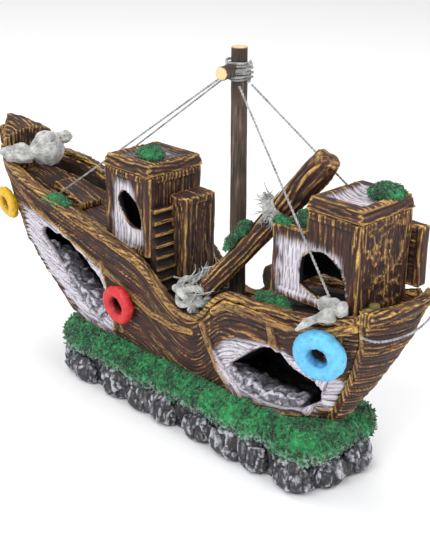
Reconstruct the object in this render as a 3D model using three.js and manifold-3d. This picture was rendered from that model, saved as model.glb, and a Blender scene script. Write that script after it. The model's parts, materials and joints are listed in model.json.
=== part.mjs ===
// Sunken sailing ship, an aquarium ornament on a rock foot, with a pull-out air stone.
// Millimetres, +Z up, +X towards the stern, -Y to port. The origin is the centre of the underside.
import * as THREE from 'three';
import { mergeVertices } from 'three/addons/utils/BufferGeometryUtils.js';
import Module from 'manifold-3d';

const wasm = await Module();
wasm.setup();

// ---- driving dimensions ----
const GAP = 0.3;                 // glue line between neighbouring pieces
const FOOT_BOW_X = -94;          // rock foot, from bow to stern
const FOOT_STERN_X = 81;
const FOOT_WIDTH = 54;           // rock foot, across the ship
const BED_TOP = 17;              // top of the rocks, where the moss bank starts
const HULL_BOTTOM = 28;          // where the planking leaves the moss
const WALL = 3.6;                // cast wall of the hull
const CABIN_WALL = 3.2;          // cast wall of the two cabins
const WAIST_Z = 50;              // open deck amidships
const MAST_X = 9;
const MAST_TOP = 175.3;
const MAST_RADIUS = 3.3;
const MAST_LEAN = 0.028;         // towards the bow, radians
const STRING = 1.1;              // twisted cotton rigging, diameter
const FORE_CABIN = { x0: -58.3, x1: -28, y0: -16.7, y1: 16, top: 116.5 };
const AFT_CABIN = { x0: 62.5, x1: 88.6, y0: -16, y1: 17.2, top: 125.2 };
const ANNEX = { x0: 45.2, top: 112.4 };
const AIR_X = 16;                // air unit, in the starboard side
const AIR_Z = 39.6;
const AIR_BORE = 6.4;

// Each line gives a height, or a place along the ship, and the value there.
const STEM_X = [[28, -106], [44, -122], [61, -139], [78, -148], [93, -154], [112, -159]];
const STERN_X = [[28, 69], [51, 82], [73, 92], [88, 95], [112, 99]];
const BEAM = [[28, 17], [45, 19.5], [60, 21], [75, 22], [110, 22.5]];
const STERN_BEAM = [[28, 4.5], [51, 10], [73, 17], [88, 21.5], [112, 22]];
const SHEER = [
  [-160, 103], [-136, 96], [-119, 94], [-100, 89], [-73, 83], [-49, 78], [-30, 73.5], [-22, 67],
  [-13, 60], [-3, 56], [6, 56], [13, 61], [19, 69], [25, 74], [36, 75], [60, 76.5], [80, 80], [99, 87],
];

// ---- colours ----
function paint(hex, roughness = 0.8, metalness = 0) {
  return new THREE.MeshStandardMaterial({ color: hex, roughness, metalness });
}
const WOOD = paint(0x4a3020);
const DARK_WOOD = paint(0x3a2418);
const ROCK = paint(0x4a4a4e);
const CAVE = paint(0x6c6a72);
const MOSS = paint(0x17703a, 0.95);
const ROPE = paint(0xc9c9c6, 0.95);
const TWIG = paint(0x5c4a38, 0.75);
const YELLOW = paint(0xe8b820, 0.5);
const RED = paint(0xd32a2a, 0.5);
const BLUE = paint(0x6ec3ee, 0.5);
const RUBBER = paint(0x26262a, 0.7);
const CLEAR_PLASTIC = paint(0xd8dde0, 0.35);
const AIR_STONE = paint(0x3f7fc4, 0.95);

const ship = new THREE.Group();

// ---- helpers ----
function along(points, at) {
  const last = points.length - 1;
  if (at <= points[0][0]) return points[0][1];
  if (at >= points[last][0]) return points[last][1];
  const i = points.findIndex((p) => p[0] > at);
  const t = (at - points[i - 1][0]) / (points[i][0] - points[i - 1][0]);
  return THREE.MathUtils.lerp(points[i - 1][1], points[i][1], t);
}

function closed(geometry) {
  const shape = geometry.index ? geometry.toNonIndexed() : geometry.clone();
  shape.deleteAttribute('normal');
  shape.deleteAttribute('uv');
  return mergeVertices(shape, 1e-4);
}

function toSolid(geometry) {
  const shape = closed(geometry);
  const vertProperties = new Float32Array(shape.attributes.position.array);
  const triVerts = new Uint32Array(shape.index.array);
  return new wasm.Manifold(new wasm.Mesh({ numProp: 3, vertProperties, triVerts }));
}

function toGeometry(solid) {
  const mesh = solid.getMesh();
  const geometry = new THREE.BufferGeometry();
  geometry.setAttribute('position', new THREE.BufferAttribute(mesh.vertProperties, 3));
  geometry.setIndex(new THREE.BufferAttribute(mesh.triVerts, 1));
  return geometry;
}

function cut(geometry, ...tools) {
  const start = toSolid(geometry);
  return toGeometry(tools.reduce((solid, tool) => solid.subtract(toSolid(tool)), start));
}

function join(geometry, ...extras) {
  const start = toSolid(geometry);
  return toGeometry(extras.reduce((solid, extra) => solid.add(toSolid(extra)), start));
}

function place(name, geometry, material) {
  const mesh = new THREE.Mesh(closed(geometry), material);
  mesh.name = name;
  ship.add(mesh);
  return mesh;
}

// A box of nx by ny by nz cells whose corners are moved by shape(u, v, w), each from 0 to 1.
function warped(nx, ny, nz, shape) {
  const box = new THREE.BoxGeometry(1, 1, 1, nx, ny, nz);
  const spots = box.attributes.position;
  const snap = (value, n) => Math.round((value + 0.5) * n) / n;
  for (let i = 0; i < spots.count; i += 1) {
    const u = snap(spots.getX(i), nx);
    const v = snap(spots.getY(i), ny);
    const w = snap(spots.getZ(i), nz);
    spots.setXYZ(i, ...shape(u, v, w));
  }
  return box;
}

function block(x0, x1, y0, y1, z0, z1) {
  const box = new THREE.BoxGeometry(x1 - x0, y1 - y0, z1 - z0);
  return box.translate((x0 + x1) / 2, (y0 + y1) / 2, (z0 + z1) / 2);
}

function tube(points, diameter, steps, sides = 8) {
  const path = points.length === 2
    ? new THREE.LineCurve3(points[0], points[1])
    : new THREE.CatmullRomCurve3(points);
  const section = new THREE.Shape();
  section.absarc(0, 0, diameter / 2, 0, 2 * Math.PI);
  return new THREE.ExtrudeGeometry(section, { steps, curveSegments: sides / 2, extrudePath: path });
}

function rod(radius, length, sides = 16) {
  return new THREE.CylinderGeometry(radius, radius, length, sides).rotateX(Math.PI / 2);
}

// A prism across the ship through a rough outline in the X-Z plane.
function brokenOpening(outline, y0, y1) {
  const shape = new THREE.Shape(outline.map(([x, z]) => new THREE.Vector2(x, z)));
  const prism = new THREE.ExtrudeGeometry(shape, { depth: y1 - y0, bevelEnabled: false });
  return prism.rotateX(Math.PI / 2).translate(0, y1, 0);
}

// A chipped ellipse: a is half its length, b half its height, lean turns it in degrees.
function chipped(x, z, a, b, lean, chips, count = 26) {
  const turn = THREE.MathUtils.degToRad(lean);
  const outline = [];
  for (let i = 0; i < count; i += 1) {
    const angle = (2 * Math.PI * i) / count;
    const rough = 1 + chips * (Math.sin(5 * angle + 1) + Math.sin(9 * angle));
    const px = a * rough * Math.cos(angle);
    const pz = b * rough * Math.sin(angle);
    outline.push([x + px * Math.cos(turn) - pz * Math.sin(turn), z + px * Math.sin(turn) + pz * Math.cos(turn)]);
  }
  return outline;
}

// ---- hull form ----
function halfBeam(x, z) {
  const beam = along(BEAM, z);
  const fromStem = Math.max(0, x - along(STEM_X, z));
  const entry = THREE.MathUtils.clamp(1 - fromStem / 46, 0, 1);
  const bow = 3 + (beam - 3) * (1 - entry ** 2) ** 0.8;
  const run = THREE.MathUtils.clamp((x - along(STERN_X, z)) / 28 + 1, 0, 1);
  return bow + (along(STERN_BEAM, z) - beam) * run ** 2.2;
}

// The point on the planking a share u along the hull and w up from its foot.
function plank(u, w) {
  let z = HULL_BOTTOM;
  let x = 0;
  for (let round = 0; round < 6; round += 1) {
    x = THREE.MathUtils.lerp(along(STEM_X, z), along(STERN_X, z), u);
    z = THREE.MathUtils.lerp(HULL_BOTTOM + GAP, along(SHEER, x), w);
  }
  return [x, halfBeam(x, z), z];
}

function hullSide(side) {
  return warped(54, 1, 8, (u, v, w) => {
    const [x, outer, z] = plank(u, w);
    const inner = Math.max(GAP / 2, outer - WALL);
    const isOuter = side < 0 ? v === 0 : v === 1;
    return [x, side * (isOuter ? outer : inner), z];
  });
}

const BOW_BREAK = [
  [-104, 68], [-102.5, 71.5], [-97, 73], [-92, 71], [-88, 72], [-80, 70], [-76, 66], [-72, 65], [-62, 58.5],
  [-55, 51], [-54, 45], [-58, 36], [-64, 34.5], [-72, 37], [-79, 42], [-88, 53], [-97, 62],
];
const STERN_BREAK = [
  [24, 38], [26, 43], [31, 47], [39, 54], [45, 58], [51, 59.8], [57, 58], [61, 54.5], [66, 52], [71, 50],
  [73, 46], [70, 38.5], [62, 32.5], [53, 31.5], [44, 31], [32, 32],
];
// Rock just inside each break, as high as this at each place along the ship.
const BOW_LEDGE = [[-102, 63], [-92, 57.5], [-83, 51], [-75, 46], [-65, 41], [-56, 35], [-48, 31]];
const STERN_LEDGE = [[16, 31], [24, 41.4], [29, 37.6], [51, 37.2], [57, 36.4], [64, 38.6]];

function makeHull() {
  const bowBreak = brokenOpening(BOW_BREAK, -30, -1);
  const sternBreak = brokenOpening(STERN_BREAK, -30, -5);
  place('hull_port', cut(hullSide(-1), bowBreak, sternBreak), WOOD);
  const boss = rod(9.5, 5, 20).rotateX(Math.PI / 2).translate(AIR_X, 19.5, AIR_Z);
  const bore = rod(AIR_BORE, 20, 20).rotateX(Math.PI / 2).translate(AIR_X, 19.5, AIR_Z);
  place('hull_starboard', cut(join(hullSide(1), boss), bore), WOOD);
}

// Rough rock inside the hull. It rises into a ledge behind each break in the port side.
function makeHullFloor() {
  const floor = warped(30, 6, 4, (u, v, w) => {
    const x = THREE.MathUtils.lerp(-102, 62, u);
    const side = 2 * v - 1;
    const bow = Math.max(0, 1 - Math.abs(x + 92) / 50);
    const lumps = 0.8 * Math.sin(x * 0.9 + 5 * v) + 0.6 * Math.sin(x * 0.37 + 9 * v);
    const flat = 32 + 14 * bow ** 1.5;
    const ledge = x < -30 ? along(BOW_LEDGE, x) : along(STERN_LEDGE, x);
    const near = THREE.MathUtils.clamp((0.55 - v) / 0.3, 0, 1);
    const top = flat + near * Math.max(0, ledge - flat) + lumps;
    const z = THREE.MathUtils.lerp(HULL_BOTTOM + GAP, top, w);
    const room = halfBeam(x, z) - WALL - 0.6;
    return [x, side * Math.max(0.5, room), z];
  });
  place('hull_floor', floor, CAVE);
}

function makeProw() {
  const stem = warped(1, 2, 12, (u, v, w) => {
    const z = THREE.MathUtils.lerp(HULL_BOTTOM + GAP, 107, w);
    const depth = 3.5 + 2.5 * w;
    const half = 1.4 + 1.6 * u + 0.6 * w;
    return [along(STEM_X, z) - GAP - depth * (1 - u), (2 * v - 1) * half, z + (w === 1 ? 3 * u : 0)];
  });
  place('stem_post', stem, WOOD);
  // The beakhead stands on the deck between the bulwarks, and its rounded head spreads out above the rails.
  const beak = warped(4, 8, 3, (u, v, w) => {
    const side = 2 * v - 1;
    const round = Math.sqrt(1 - 0.8 * side * side);
    const wide = w > 0.5 ? 4.5 : 0;
    const x = THREE.MathUtils.lerp(-153.5 - 0.6 * wide * round, -139, u);
    const low = bowDeckTop(x) + GAP;
    const room = halfBeam(x, low) - WALL - GAP + wide;
    const crown = 104.5 + 12 * round * (1 - 0.4 * u * u);
    const rows = [low, 103.3, 104.5, crown];
    return [x, side * room, rows[Math.round(3 * w)]];
  });
  place('beakhead', beak, DARK_WOOD);
}

// ---- decks ----
function bowDeckTop(x) {
  return 69 + 0.19 * (-28 - x);
}

function quarterDeckTop(x) {
  return 72.5 + 0.17 * (x - 30);
}

function deck(x0, x1, nx, thickness, top) {
  return warped(nx, 2, 1, (u, v, w) => {
    const x = THREE.MathUtils.lerp(x0, x1, u);
    const z = top(x) - (1 - w) * thickness;
    const room = halfBeam(x, Math.min(z, top(x) - thickness)) - WALL - GAP;
    return [x, (2 * v - 1) * room, z];
  });
}

function makeDecks() {
  place('bow_deck', deck(-148, -28.3, 12, 3, bowDeckTop), WOOD);
  place('quarter_deck', deck(28, 91, 8, 3, quarterDeckTop), WOOD);
  const foreRoom = halfBeam(-30, WAIST_Z - 3) - WALL - GAP;
  const foreTop = bowDeckTop(-28) - 3 - GAP;
  const foreBulkhead = block(-31.3, -28.3, -foreRoom, foreRoom, WAIST_Z - 3, foreTop);
  const aftRoom = halfBeam(30, WAIST_Z - 3) - WALL - GAP;
  const aftTop = quarterDeckTop(28) - 3 - GAP;
  const aftBulkhead = block(28, 31, -aftRoom, aftRoom, WAIST_Z - 3, aftTop);
  const well = deck(-29, 29, 6, 3, () => WAIST_Z);
  place('waist_deck', join(well, foreBulkhead, aftBulkhead), WOOD);
}

// ---- stern and rails ----
function sternEdge(z, side) {
  return [along(STERN_X, z) + GAP, side * (along(STERN_BEAM, z) + 0.4)];
}

function makeStern() {
  const transom = warped(1, 6, 10, (u, v, w) => {
    const z = THREE.MathUtils.lerp(HULL_BOTTOM + GAP, 85.8, w);
    const side = 2 * v - 1;
    const [x, y] = sternEdge(z, side);
    return [x + (u * 3 + 4.4 * w) * (1 - side * side) + 2.6 * u, y, z];
  });
  place('transom', transom, WOOD);
  const taffrail = warped(1, 8, 1, (u, v, w) => {
    const side = 2 * v - 1;
    const high = 92 - 1.5 * (1 + side);
    const bulge = 5 * (1 - side * side);
    return [94.6 + 5.4 * u + 0.8 * w + bulge, side * 22.6, THREE.MathUtils.lerp(86.4, high, w)];
  });
  place('taffrail', taffrail, WOOD);
}

// The moulding along the top of one side, carried down through the dip amidships.
function rail(side) {
  return warped(54, 1, 1, (u, v, w) => {
    const x = THREE.MathUtils.lerp(-150, 94, u);
    const slope = (along(SHEER, x + 3) - along(SHEER, x - 3)) / 6;
    const top = along(SHEER, x);
    const inner = halfBeam(x, top) - WALL + 0.4;
    const across = (side < 0 ? 1 - v : v) * (WALL + 1);
    const rise = 0.55 + w * 2.4;
    const lean = slope / Math.hypot(1, slope);
    return [x - rise * lean, side * (inner + across), top + rise * Math.sqrt(1 - lean * lean)];
  });
}

// ---- cabins ----
function shell(x0, x1, y0, y1, z0, z1) {
  const inset = CABIN_WALL;
  return cut(
    block(x0, x1, y0, y1, z0, z1),
    block(x0 + inset, x1 - inset, y0 + inset, y1 - inset, z0 - 1, z1 + 1),
  );
}

function makeForeCabin() {
  const { x0, x1, y0, y1, top } = FORE_CABIN;
  const walls = shell(x0, x1, y0, y1, bowDeckTop(x0) + GAP, top - 3.2);
  const window = brokenOpening(chipped(-41.5, 95, 10, 5.6, -48, 0.05, 18), y0 - 5, y0 + 5);
  place('fore_cabin', cut(walls, window), WOOD);
  const roof = warped(6, 6, 1, (u, v, w) => {
    const rim = Math.max(Math.abs(2 * u - 1), Math.abs(2 * v - 1));
    const slope = w * (rim > 0.9 ? 1.2 : 0);
    const sunk = w * (rim < 0.5 ? 1.6 : 0);
    const x = THREE.MathUtils.lerp(x0 - 0.6 + slope, x1 + 0.6 - slope, u);
    const y = THREE.MathUtils.lerp(y0 - 0.6 + slope, y1 + 0.6 - slope, v);
    return [x, y, top - 2.9 + w * 5.1 - sunk];
  });
  place('fore_cabin_roof', roof, WOOD);
  place('fore_cabin_block', block(x1 + GAP, -17, -4.5, 14.5, WAIST_Z + GAP, 103.5), DARK_WOOD);
}

function makeStairs() {
  const steps = 9;
  const back = FORE_CABIN.x1 + GAP;
  const low = WAIST_Z + GAP;
  const high = 99;
  const run = (i) => THREE.MathUtils.lerp(back + 7, back + 2.8, i / steps);
  const side = new THREE.Shape();
  side.moveTo(back, low);
  side.lineTo(run(0), low);
  for (let i = 1; i <= steps; i += 1) {
    const z = THREE.MathUtils.lerp(low, high, i / steps);
    const inner = Math.max(back + 0.8, run(i) - 1.8);
    side.lineTo(inner, z - 3.4);
    side.lineTo(inner, z - 1.7);
    side.lineTo(run(i), z - 1.7);
    side.lineTo(run(i), z);
  }
  side.lineTo(back, high);
  const flight = new THREE.ExtrudeGeometry(side, { depth: 11.2, bevelEnabled: false });
  flight.rotateX(Math.PI / 2).translate(0, -4.8, 0);
  place('stairs', flight, DARK_WOOD);
}

function makeAftCabin() {
  const { x0, x1, y0, y1, top } = AFT_CABIN;
  const foot = quarterDeckTop(x1) + GAP;
  const low = shell(ANNEX.x0, x1, y0, y1, foot, ANNEX.top - 2.6);
  const high = shell(x0, x1, y0, y1, ANNEX.top - 4, top - 3.2);
  const arch = [
    [60.2, 90], [59.6, 96], [60.6, 102], [64.5, 105.4], [70, 106.6], [75, 105.2], [79.5, 102],
    [82, 97.5], [83.4, 91], [83, 86], [77, 85.4], [70, 86.6], [64.5, 88.2],
  ];
  const lid = block(ANNEX.x0, x0 + 1, y0, y1, ANNEX.top - 3.4, ANNEX.top);
  const walls = cut(join(low, high, lid), brokenOpening(arch, y0 - 5, y0 + 5));
  place('aft_cabin', walls, WOOD);
  const roof = warped(6, 6, 1, (u, v, w) => {
    const rim = Math.max(Math.abs(2 * u - 1), Math.abs(2 * v - 1));
    const slope = w * (rim > 0.9 ? 1.4 : 0);
    const sunk = w * (rim < 0.5 ? 2 : 0);
    const x = THREE.MathUtils.lerp(x0 - 0.7 + slope, x1 + 0.7 - slope, u);
    const y = THREE.MathUtils.lerp(y0 - 0.7 + slope, y1 + 0.7 - slope, v);
    return [x, y, top - 2.9 + w * 5.4 - sunk];
  });
  place('aft_cabin_roof', roof, WOOD);
  place('side_locker', block(66, 94, y1 + GAP, y1 + 5, 89.6, 115), WOOD);
}

// ---- rock foot ----
// The foot's outline, drawn inwards by inset: tight corners at the stern, round ones at the bow.
function footOutline(inset) {
  const [bow, stern, side] = [FOOT_BOW_X + inset, FOOT_STERN_X - inset, FOOT_WIDTH / 2 - inset];
  const tight = Math.max(3, 14 - inset);
  const round = Math.max(4, 21 - inset);
  const outline = new THREE.Shape();
  outline.moveTo(stern, 0);
  outline.lineTo(stern, side - tight);
  outline.absarc(stern - tight, side - tight, tight, 0, Math.PI / 2);
  outline.lineTo(bow + round, side);
  outline.absarc(bow + round, side - round, round, Math.PI / 2, Math.PI);
  outline.lineTo(bow, round - side);
  outline.absarc(bow + round, round - side, round, Math.PI, 1.5 * Math.PI);
  outline.lineTo(stern - tight, -side);
  outline.absarc(stern - tight, tight - side, tight, 1.5 * Math.PI, 2 * Math.PI);
  outline.lineTo(stern, 0);
  return outline;
}

// One faceted boulder, its flat back sunk into the bed.
function boulder(share, width, height, seed) {
  const outline = footOutline(4.4);
  const { x, y } = outline.getPointAt(share);
  const tangent = outline.getTangentAt(share);
  const lump = new THREE.IcosahedronGeometry(1, 1);
  const spots = lump.attributes.position;
  const lean = 0.18 * Math.sin(seed * 2.3);
  for (let i = 0; i < spots.count; i += 1) {
    const [px, py, pz] = [spots.getX(i), spots.getY(i), spots.getZ(i)];
    const rise = height * (0.42 + 0.58 * pz);
    spots.setXYZ(i, (width / 2) * (px + lean * pz), Math.min(5.6, 4.5 * py), Math.max(0, rise));
  }
  return lump.rotateZ(Math.atan2(tangent.y, tangent.x)).translate(x, y, 0);
}

function makeRockBase() {
  const bed = new THREE.ExtrudeGeometry(footOutline(6), { depth: BED_TOP, bevelEnabled: false, curveSegments: 5 });
  const boulders = [];
  const count = 21;
  for (let i = 0; i < count; i += 1) {
    const width = 19.6 + 2 * Math.sin(3 * i + 2);
    const share = (i + 0.5 + 0.15 * Math.sin(2 * i)) / count;
    boulders.push(boulder(share, width, 15.6 + Math.sin(5 * i), i + 1));
  }
  place('rock_base', join(bed, ...boulders), ROCK);
}

// The flocked mound between the rocks and the planking.
function makeMossBank() {
  const levels = [[0, 1.2], [0.34, 0.4], [0.7, 2.6], [1, 7.6]];
  const around = 64;
  const rows = 5;
  const bank = new THREE.CylinderGeometry(1, 1, 1, around, rows).rotateX(Math.PI / 2);
  const spots = bank.attributes.position;
  const outlines = [];
  for (let row = 0; row <= rows; row += 1) {
    outlines.push(footOutline(along(levels, row / rows)).getSpacedPoints(around));
  }
  for (let i = 0; i < spots.count; i += 1) {
    const angle = Math.atan2(spots.getY(i), spots.getX(i));
    const k = (Math.round((angle / (2 * Math.PI)) * around) + around) % around;
    const w = spots.getZ(i) + 0.5;
    const rim = Math.hypot(spots.getX(i), spots.getY(i)) > 0.5;
    const spot = outlines[Math.round(w * rows)][k];
    const z = THREE.MathUtils.lerp(BED_TOP + GAP, HULL_BOTTOM, w);
    spots.setXYZ(i, rim ? spot.x : 0, rim ? spot.y : 0, z);
  }
  place('moss_bank', bank, MOSS);
}

// ---- broken mast, ropes and trim ----
const LOG_FOOT = new THREE.Vector3(0.2, -14.5, 62.2);
const LOG_HEAD = new THREE.Vector3(55, 5.6, 137);

function onLog(share, up = 0) {
  const axis = LOG_HEAD.clone().sub(LOG_FOOT).normalize();
  const lift = new THREE.Vector3(-axis.z, 0, axis.x);
  return LOG_FOOT.clone().lerp(LOG_HEAD, share).addScaledVector(lift, up);
}

// A turned body along the log: stations are [share of its length, radius].
function logBody(stations, flutes, sides = 20) {
  const [first, last] = [stations[0][0], stations[stations.length - 1][0]];
  const body = new THREE.CylinderGeometry(1, 1, 1, sides, 2 * (stations.length - 1));
  const spots = body.attributes.position;
  const axis = LOG_HEAD.clone().sub(LOG_FOOT).normalize();
  const lift = new THREE.Vector3(-axis.z, 0, axis.x);
  const across = new THREE.Vector3().crossVectors(axis, lift);
  for (let i = 0; i < spots.count; i += 1) {
    const share = THREE.MathUtils.lerp(first, last, spots.getY(i) + 0.5);
    const turn = Math.atan2(spots.getZ(i), spots.getX(i));
    const rim = Math.hypot(spots.getX(i), spots.getZ(i)) > 0.5 ? 1 : 0;
    const radius = rim * along(stations, share) * (1 + flutes * Math.cos(sides * turn / 2));
    const spot = LOG_FOOT.clone().lerp(LOG_HEAD, share);
    spot.addScaledVector(across, radius * Math.cos(turn)).addScaledVector(lift, radius * Math.sin(turn));
    spots.setXYZ(i, spot.x, spot.y, spot.z);
  }
  return body;
}

function makeLog() {
  const log = logBody([[0.085, 4.2], [0.3, 4.6], [0.7, 4.9], [0.78, 5.7], [0.94, 6.2], [1, 5.6]], 0.05);
  place('mast_log', log, DARK_WOOD);
  const knot = logBody([[-0.03, 3.4], [0, 5.6], [0.05, 6.6], [0.0825, 6]], 0, 14);
  const slack = lump(-0.5, -15.6, 66.4, 19, 13, 11.4, 5);
  const socket = logBody([[0.0825, 4.7], [0.3, 5]], 0, 20);
  place('log_knot', cut(join(knot, slack), socket), ROPE);
  const wrap = logBody([[0.61, 5.9], [0.63, 6.4], [0.66, 6.4], [0.68, 5.9]], 0, 20);
  const hole = logBody([[0.5, 5.5], [0.8, 5.5]], 0, 20);
  place('log_wrap', cut(wrap, hole), ROPE);
}

function pad(name, x, y, z, width, depth, height, turn = 0, tilt = 0) {
  const dome = new THREE.SphereGeometry(1, 12, 8, 0, 2 * Math.PI, 0, Math.PI);
  const spots = dome.attributes.position;
  for (let i = 0; i < spots.count; i += 1) {
    const up = Math.max(spots.getY(i), 0);
    spots.setXYZ(i, (spots.getX(i) * width) / 2, (spots.getZ(i) * depth) / -2, up * height);
  }
  dome.rotateY(tilt).rotateZ(turn).translate(x, y, z);
  place(name, dome, MOSS);
}

function makeMossPads() {
  pad('moss_fore_roof', -41, -4, FORE_CABIN.top + 2.6, 17, 12, 3.4, -0.3);
  pad('moss_aft_roof', 81.5, 8.5, AFT_CABIN.top + 2.9, 15, 13, 3.4, 0.5);
  pad('moss_annex', 54, -5, ANNEX.top + GAP, 12, 13, 3.2);
  const spot = onLog(0.44, 6.1);
  pad('moss_log', spot.x, spot.y - 2.2, spot.z, 13, 5.5, 2.4, 0.362, -0.9);
  pad('moss_rail', 48, -16.8, quarterDeckTop(48) + 2.1, 19, 3, 5);
}

function makeHatch() {
  const plank = warped(3, 2, 1, (u, v, w) => {
    const x = THREE.MathUtils.lerp(-111, -89, u);
    const y = THREE.MathUtils.lerp(-6, 6, v) * (1 + 0.15 * u);
    return [x, y, bowDeckTop(x) + GAP + w * (5.4 - 2.4 * u)];
  });
  place('hatch_plank', plank, WOOD);
}

// Cloth and rope worn into lumps, laid over the bow and over the port quarter.
function lump(x, y, z, width, depth, height, seed) {
  const body = new THREE.IcosahedronGeometry(1, 2);
  const spots = body.attributes.position;
  for (let i = 0; i < spots.count; i += 1) {
    const [px, py, pz] = [spots.getX(i), spots.getY(i), spots.getZ(i)];
    const rough = 1 + 0.09 * Math.sin(3 * px + seed) * Math.cos(4 * py - seed) + 0.05 * Math.sin(6 * pz + seed);
    spots.setXYZ(i, x + (px * rough * width) / 2, y + (py * rough * depth) / 2, z + (pz * rough * height) / 2);
  }
  return body;
}

function makeRopes() {
  const overPort = lump(-128, -14.4, 102.6, 21, 16, 8, 1);
  const ball = lump(-119.5, -3.2, 105, 17, 18, 17, 2);
  const overStarboard = lump(-119, 7, 109.4, 8, 11, 6, 3);
  place('bow_rope', join(overPort, ball, overStarboard), ROPE);
  place('stern_cloth', lump(82, -21, 88.9, 16, 6.4, 6.6, 4), ROPE);
}

// ---- life rings ----
// A ring glued flat against the planking of the port side.
function lifeRing(name, x, z, radius, tubeRadius, turn, material) {
  const spot = new THREE.Vector3(x, -halfBeam(x, z), z);
  const aft = new THREE.Vector3(x + 6, -halfBeam(x + 6, z), z).sub(spot);
  const up = new THREE.Vector3(x, -halfBeam(x, z + 6), z + 6).sub(spot);
  const outward = aft.cross(up).normalize();
  outward.applyAxisAngle(new THREE.Vector3(0, 0, 1), THREE.MathUtils.degToRad(turn)).normalize();
  const ring = new THREE.TorusGeometry(radius - tubeRadius, tubeRadius, 8, 24);
  const mesh = place(name, ring, material);
  mesh.quaternion.setFromUnitVectors(new THREE.Vector3(0, 0, 1), outward);
  const clear = tubeRadius + 0.8 + 0.45 * radius * Math.sin(THREE.MathUtils.degToRad(turn));
  mesh.position.copy(spot).addScaledVector(outward, clear);
}

function makeRings() {
  lifeRing('life_ring_yellow', -137, 76, 8.6, 2.5, 20, YELLOW);
  lifeRing('life_ring_red', -42, 50.5, 9.4, 2.7, 0, RED);
  lifeRing('life_ring_blue', 78, 69, 11.2, 3.7, 0, BLUE);
}

// ---- rigging ----
function makeMast() {
  const height = MAST_TOP - WAIST_Z - GAP;
  const mast = new THREE.CylinderGeometry(MAST_RADIUS, MAST_RADIUS + 0.2, height, 18, 6);
  mast.rotateX(Math.PI / 2).translate(0, 0, -height / 2).rotateY(-MAST_LEAN).translate(MAST_X, 0, MAST_TOP - 0.1);
  place('mast', mast, TWIG);
  const yard = rod(2.7, 9.4, 14).rotateX(Math.PI / 2).rotateZ(0.3).translate(MAST_X + 1.2, -8.6, 166);
  place('yard', yard, TWIG);
  const turns = new THREE.LatheGeometry([[3.9, 161], [5.7, 161.6], [6.2, 166], [5.6, 170], [3.9, 170.6], [3.9, 161]]
    .map(([r, z]) => new THREE.Vector2(r, z)), 18);
  turns.rotateX(Math.PI / 2).translate(MAST_X, 0, 0);
  const clear = rod(3.05, 14, 14).rotateX(Math.PI / 2).rotateZ(0.3).translate(MAST_X + 1.2, -8.6, 166);
  place('mast_lashing', cut(turns, clear), ROPE);
}

const STAYS = {
  stay_port_bow: [[2.2, -1.6, 162.6], [-104.5, -8, 86]],
  stay_starboard_bow: [[2.2, 1.6, 162.6], [-103, 18, 92]],
  stay_port_stern: [[13.8, -4.6, 160.2], [80, -21.6, 93]],
  stay_starboard_stern: [[14.4, 2, 160.2], [60.9, 16.4, 121]],
};
const STERN_ROPE = [
  [97.6, -23.4, 82], [102, -19, 80.4], [105, -12, 80.2], [106.6, -4, 80.6], [106.8, 4, 81.8], [105.6, 12, 83.6],
  [103, 19, 86], [101.6, 24, 88.4],
];

function makeRigging() {
  for (const [name, ends] of Object.entries(STAYS)) {
    const [top, foot] = ends.map((end) => new THREE.Vector3(...end));
    place(name, tube([top, foot], STRING, 1), ROPE);
  }
  place('stern_rope', tube(STERN_ROPE.map((spot) => new THREE.Vector3(...spot)), STRING, 16), ROPE);
}

// ---- air unit: a bung, a barbed inlet and a stone that pull out to starboard ----
function makeAirUnit() {
  const wallIn = 15.4;
  const face = 22;
  const bung = new THREE.LatheGeometry([
    [1.8, wallIn], [6, wallIn], [6.1, face + GAP], [8.4, face + GAP], [8.4, face + 2.4], [1.8, face + 2.4], [1.8, wallIn],
  ].map(([r, y]) => new THREE.Vector2(r, y)), 20);
  place('air_bung', bung.translate(AIR_X, 0, AIR_Z), RUBBER);
  const inlet = new THREE.LatheGeometry([
    [0.8, 12], [1.5, 12], [1.5, 26.5], [2.3, 27], [1.6, 29.5], [2.3, 30], [1.5, 32.6], [0.8, 32.6], [0.8, 12],
  ].map(([r, y]) => new THREE.Vector2(r, y)), 14);
  place('air_inlet', inlet.translate(AIR_X, 0, AIR_Z), CLEAR_PLASTIC);
  const stone = new THREE.LatheGeometry([
    [0, -4], [4.2, -4], [5, -3], [5, 10.6], [4.2, 11.7], [0, 11.7],
  ].map(([r, y]) => new THREE.Vector2(r, y)), 16);
  place('air_stone', stone.translate(AIR_X, 0, AIR_Z), AIR_STONE);
}

makeRockBase();
makeMossBank();
makeHull();
makeHullFloor();
makeProw();
makeDecks();
makeStern();
place('rail_port', rail(-1), WOOD);
place('rail_starboard', rail(1), WOOD);
makeForeCabin();
makeStairs();
makeAftCabin();
makeLog();
makeMossPads();
makeHatch();
makeRopes();
makeRings();
makeMast();
makeRigging();
makeAirUnit();

export default ship;
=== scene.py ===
# Sunken sailing ship, an aquarium ornament: hand painted resin casting, flock moss, cotton rigging.
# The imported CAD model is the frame. Every surface here is worked up from it, in the same place.
import json
import math

import bmesh
import bpy
import numpy as np
from mathutils import Matrix, Vector


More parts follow.
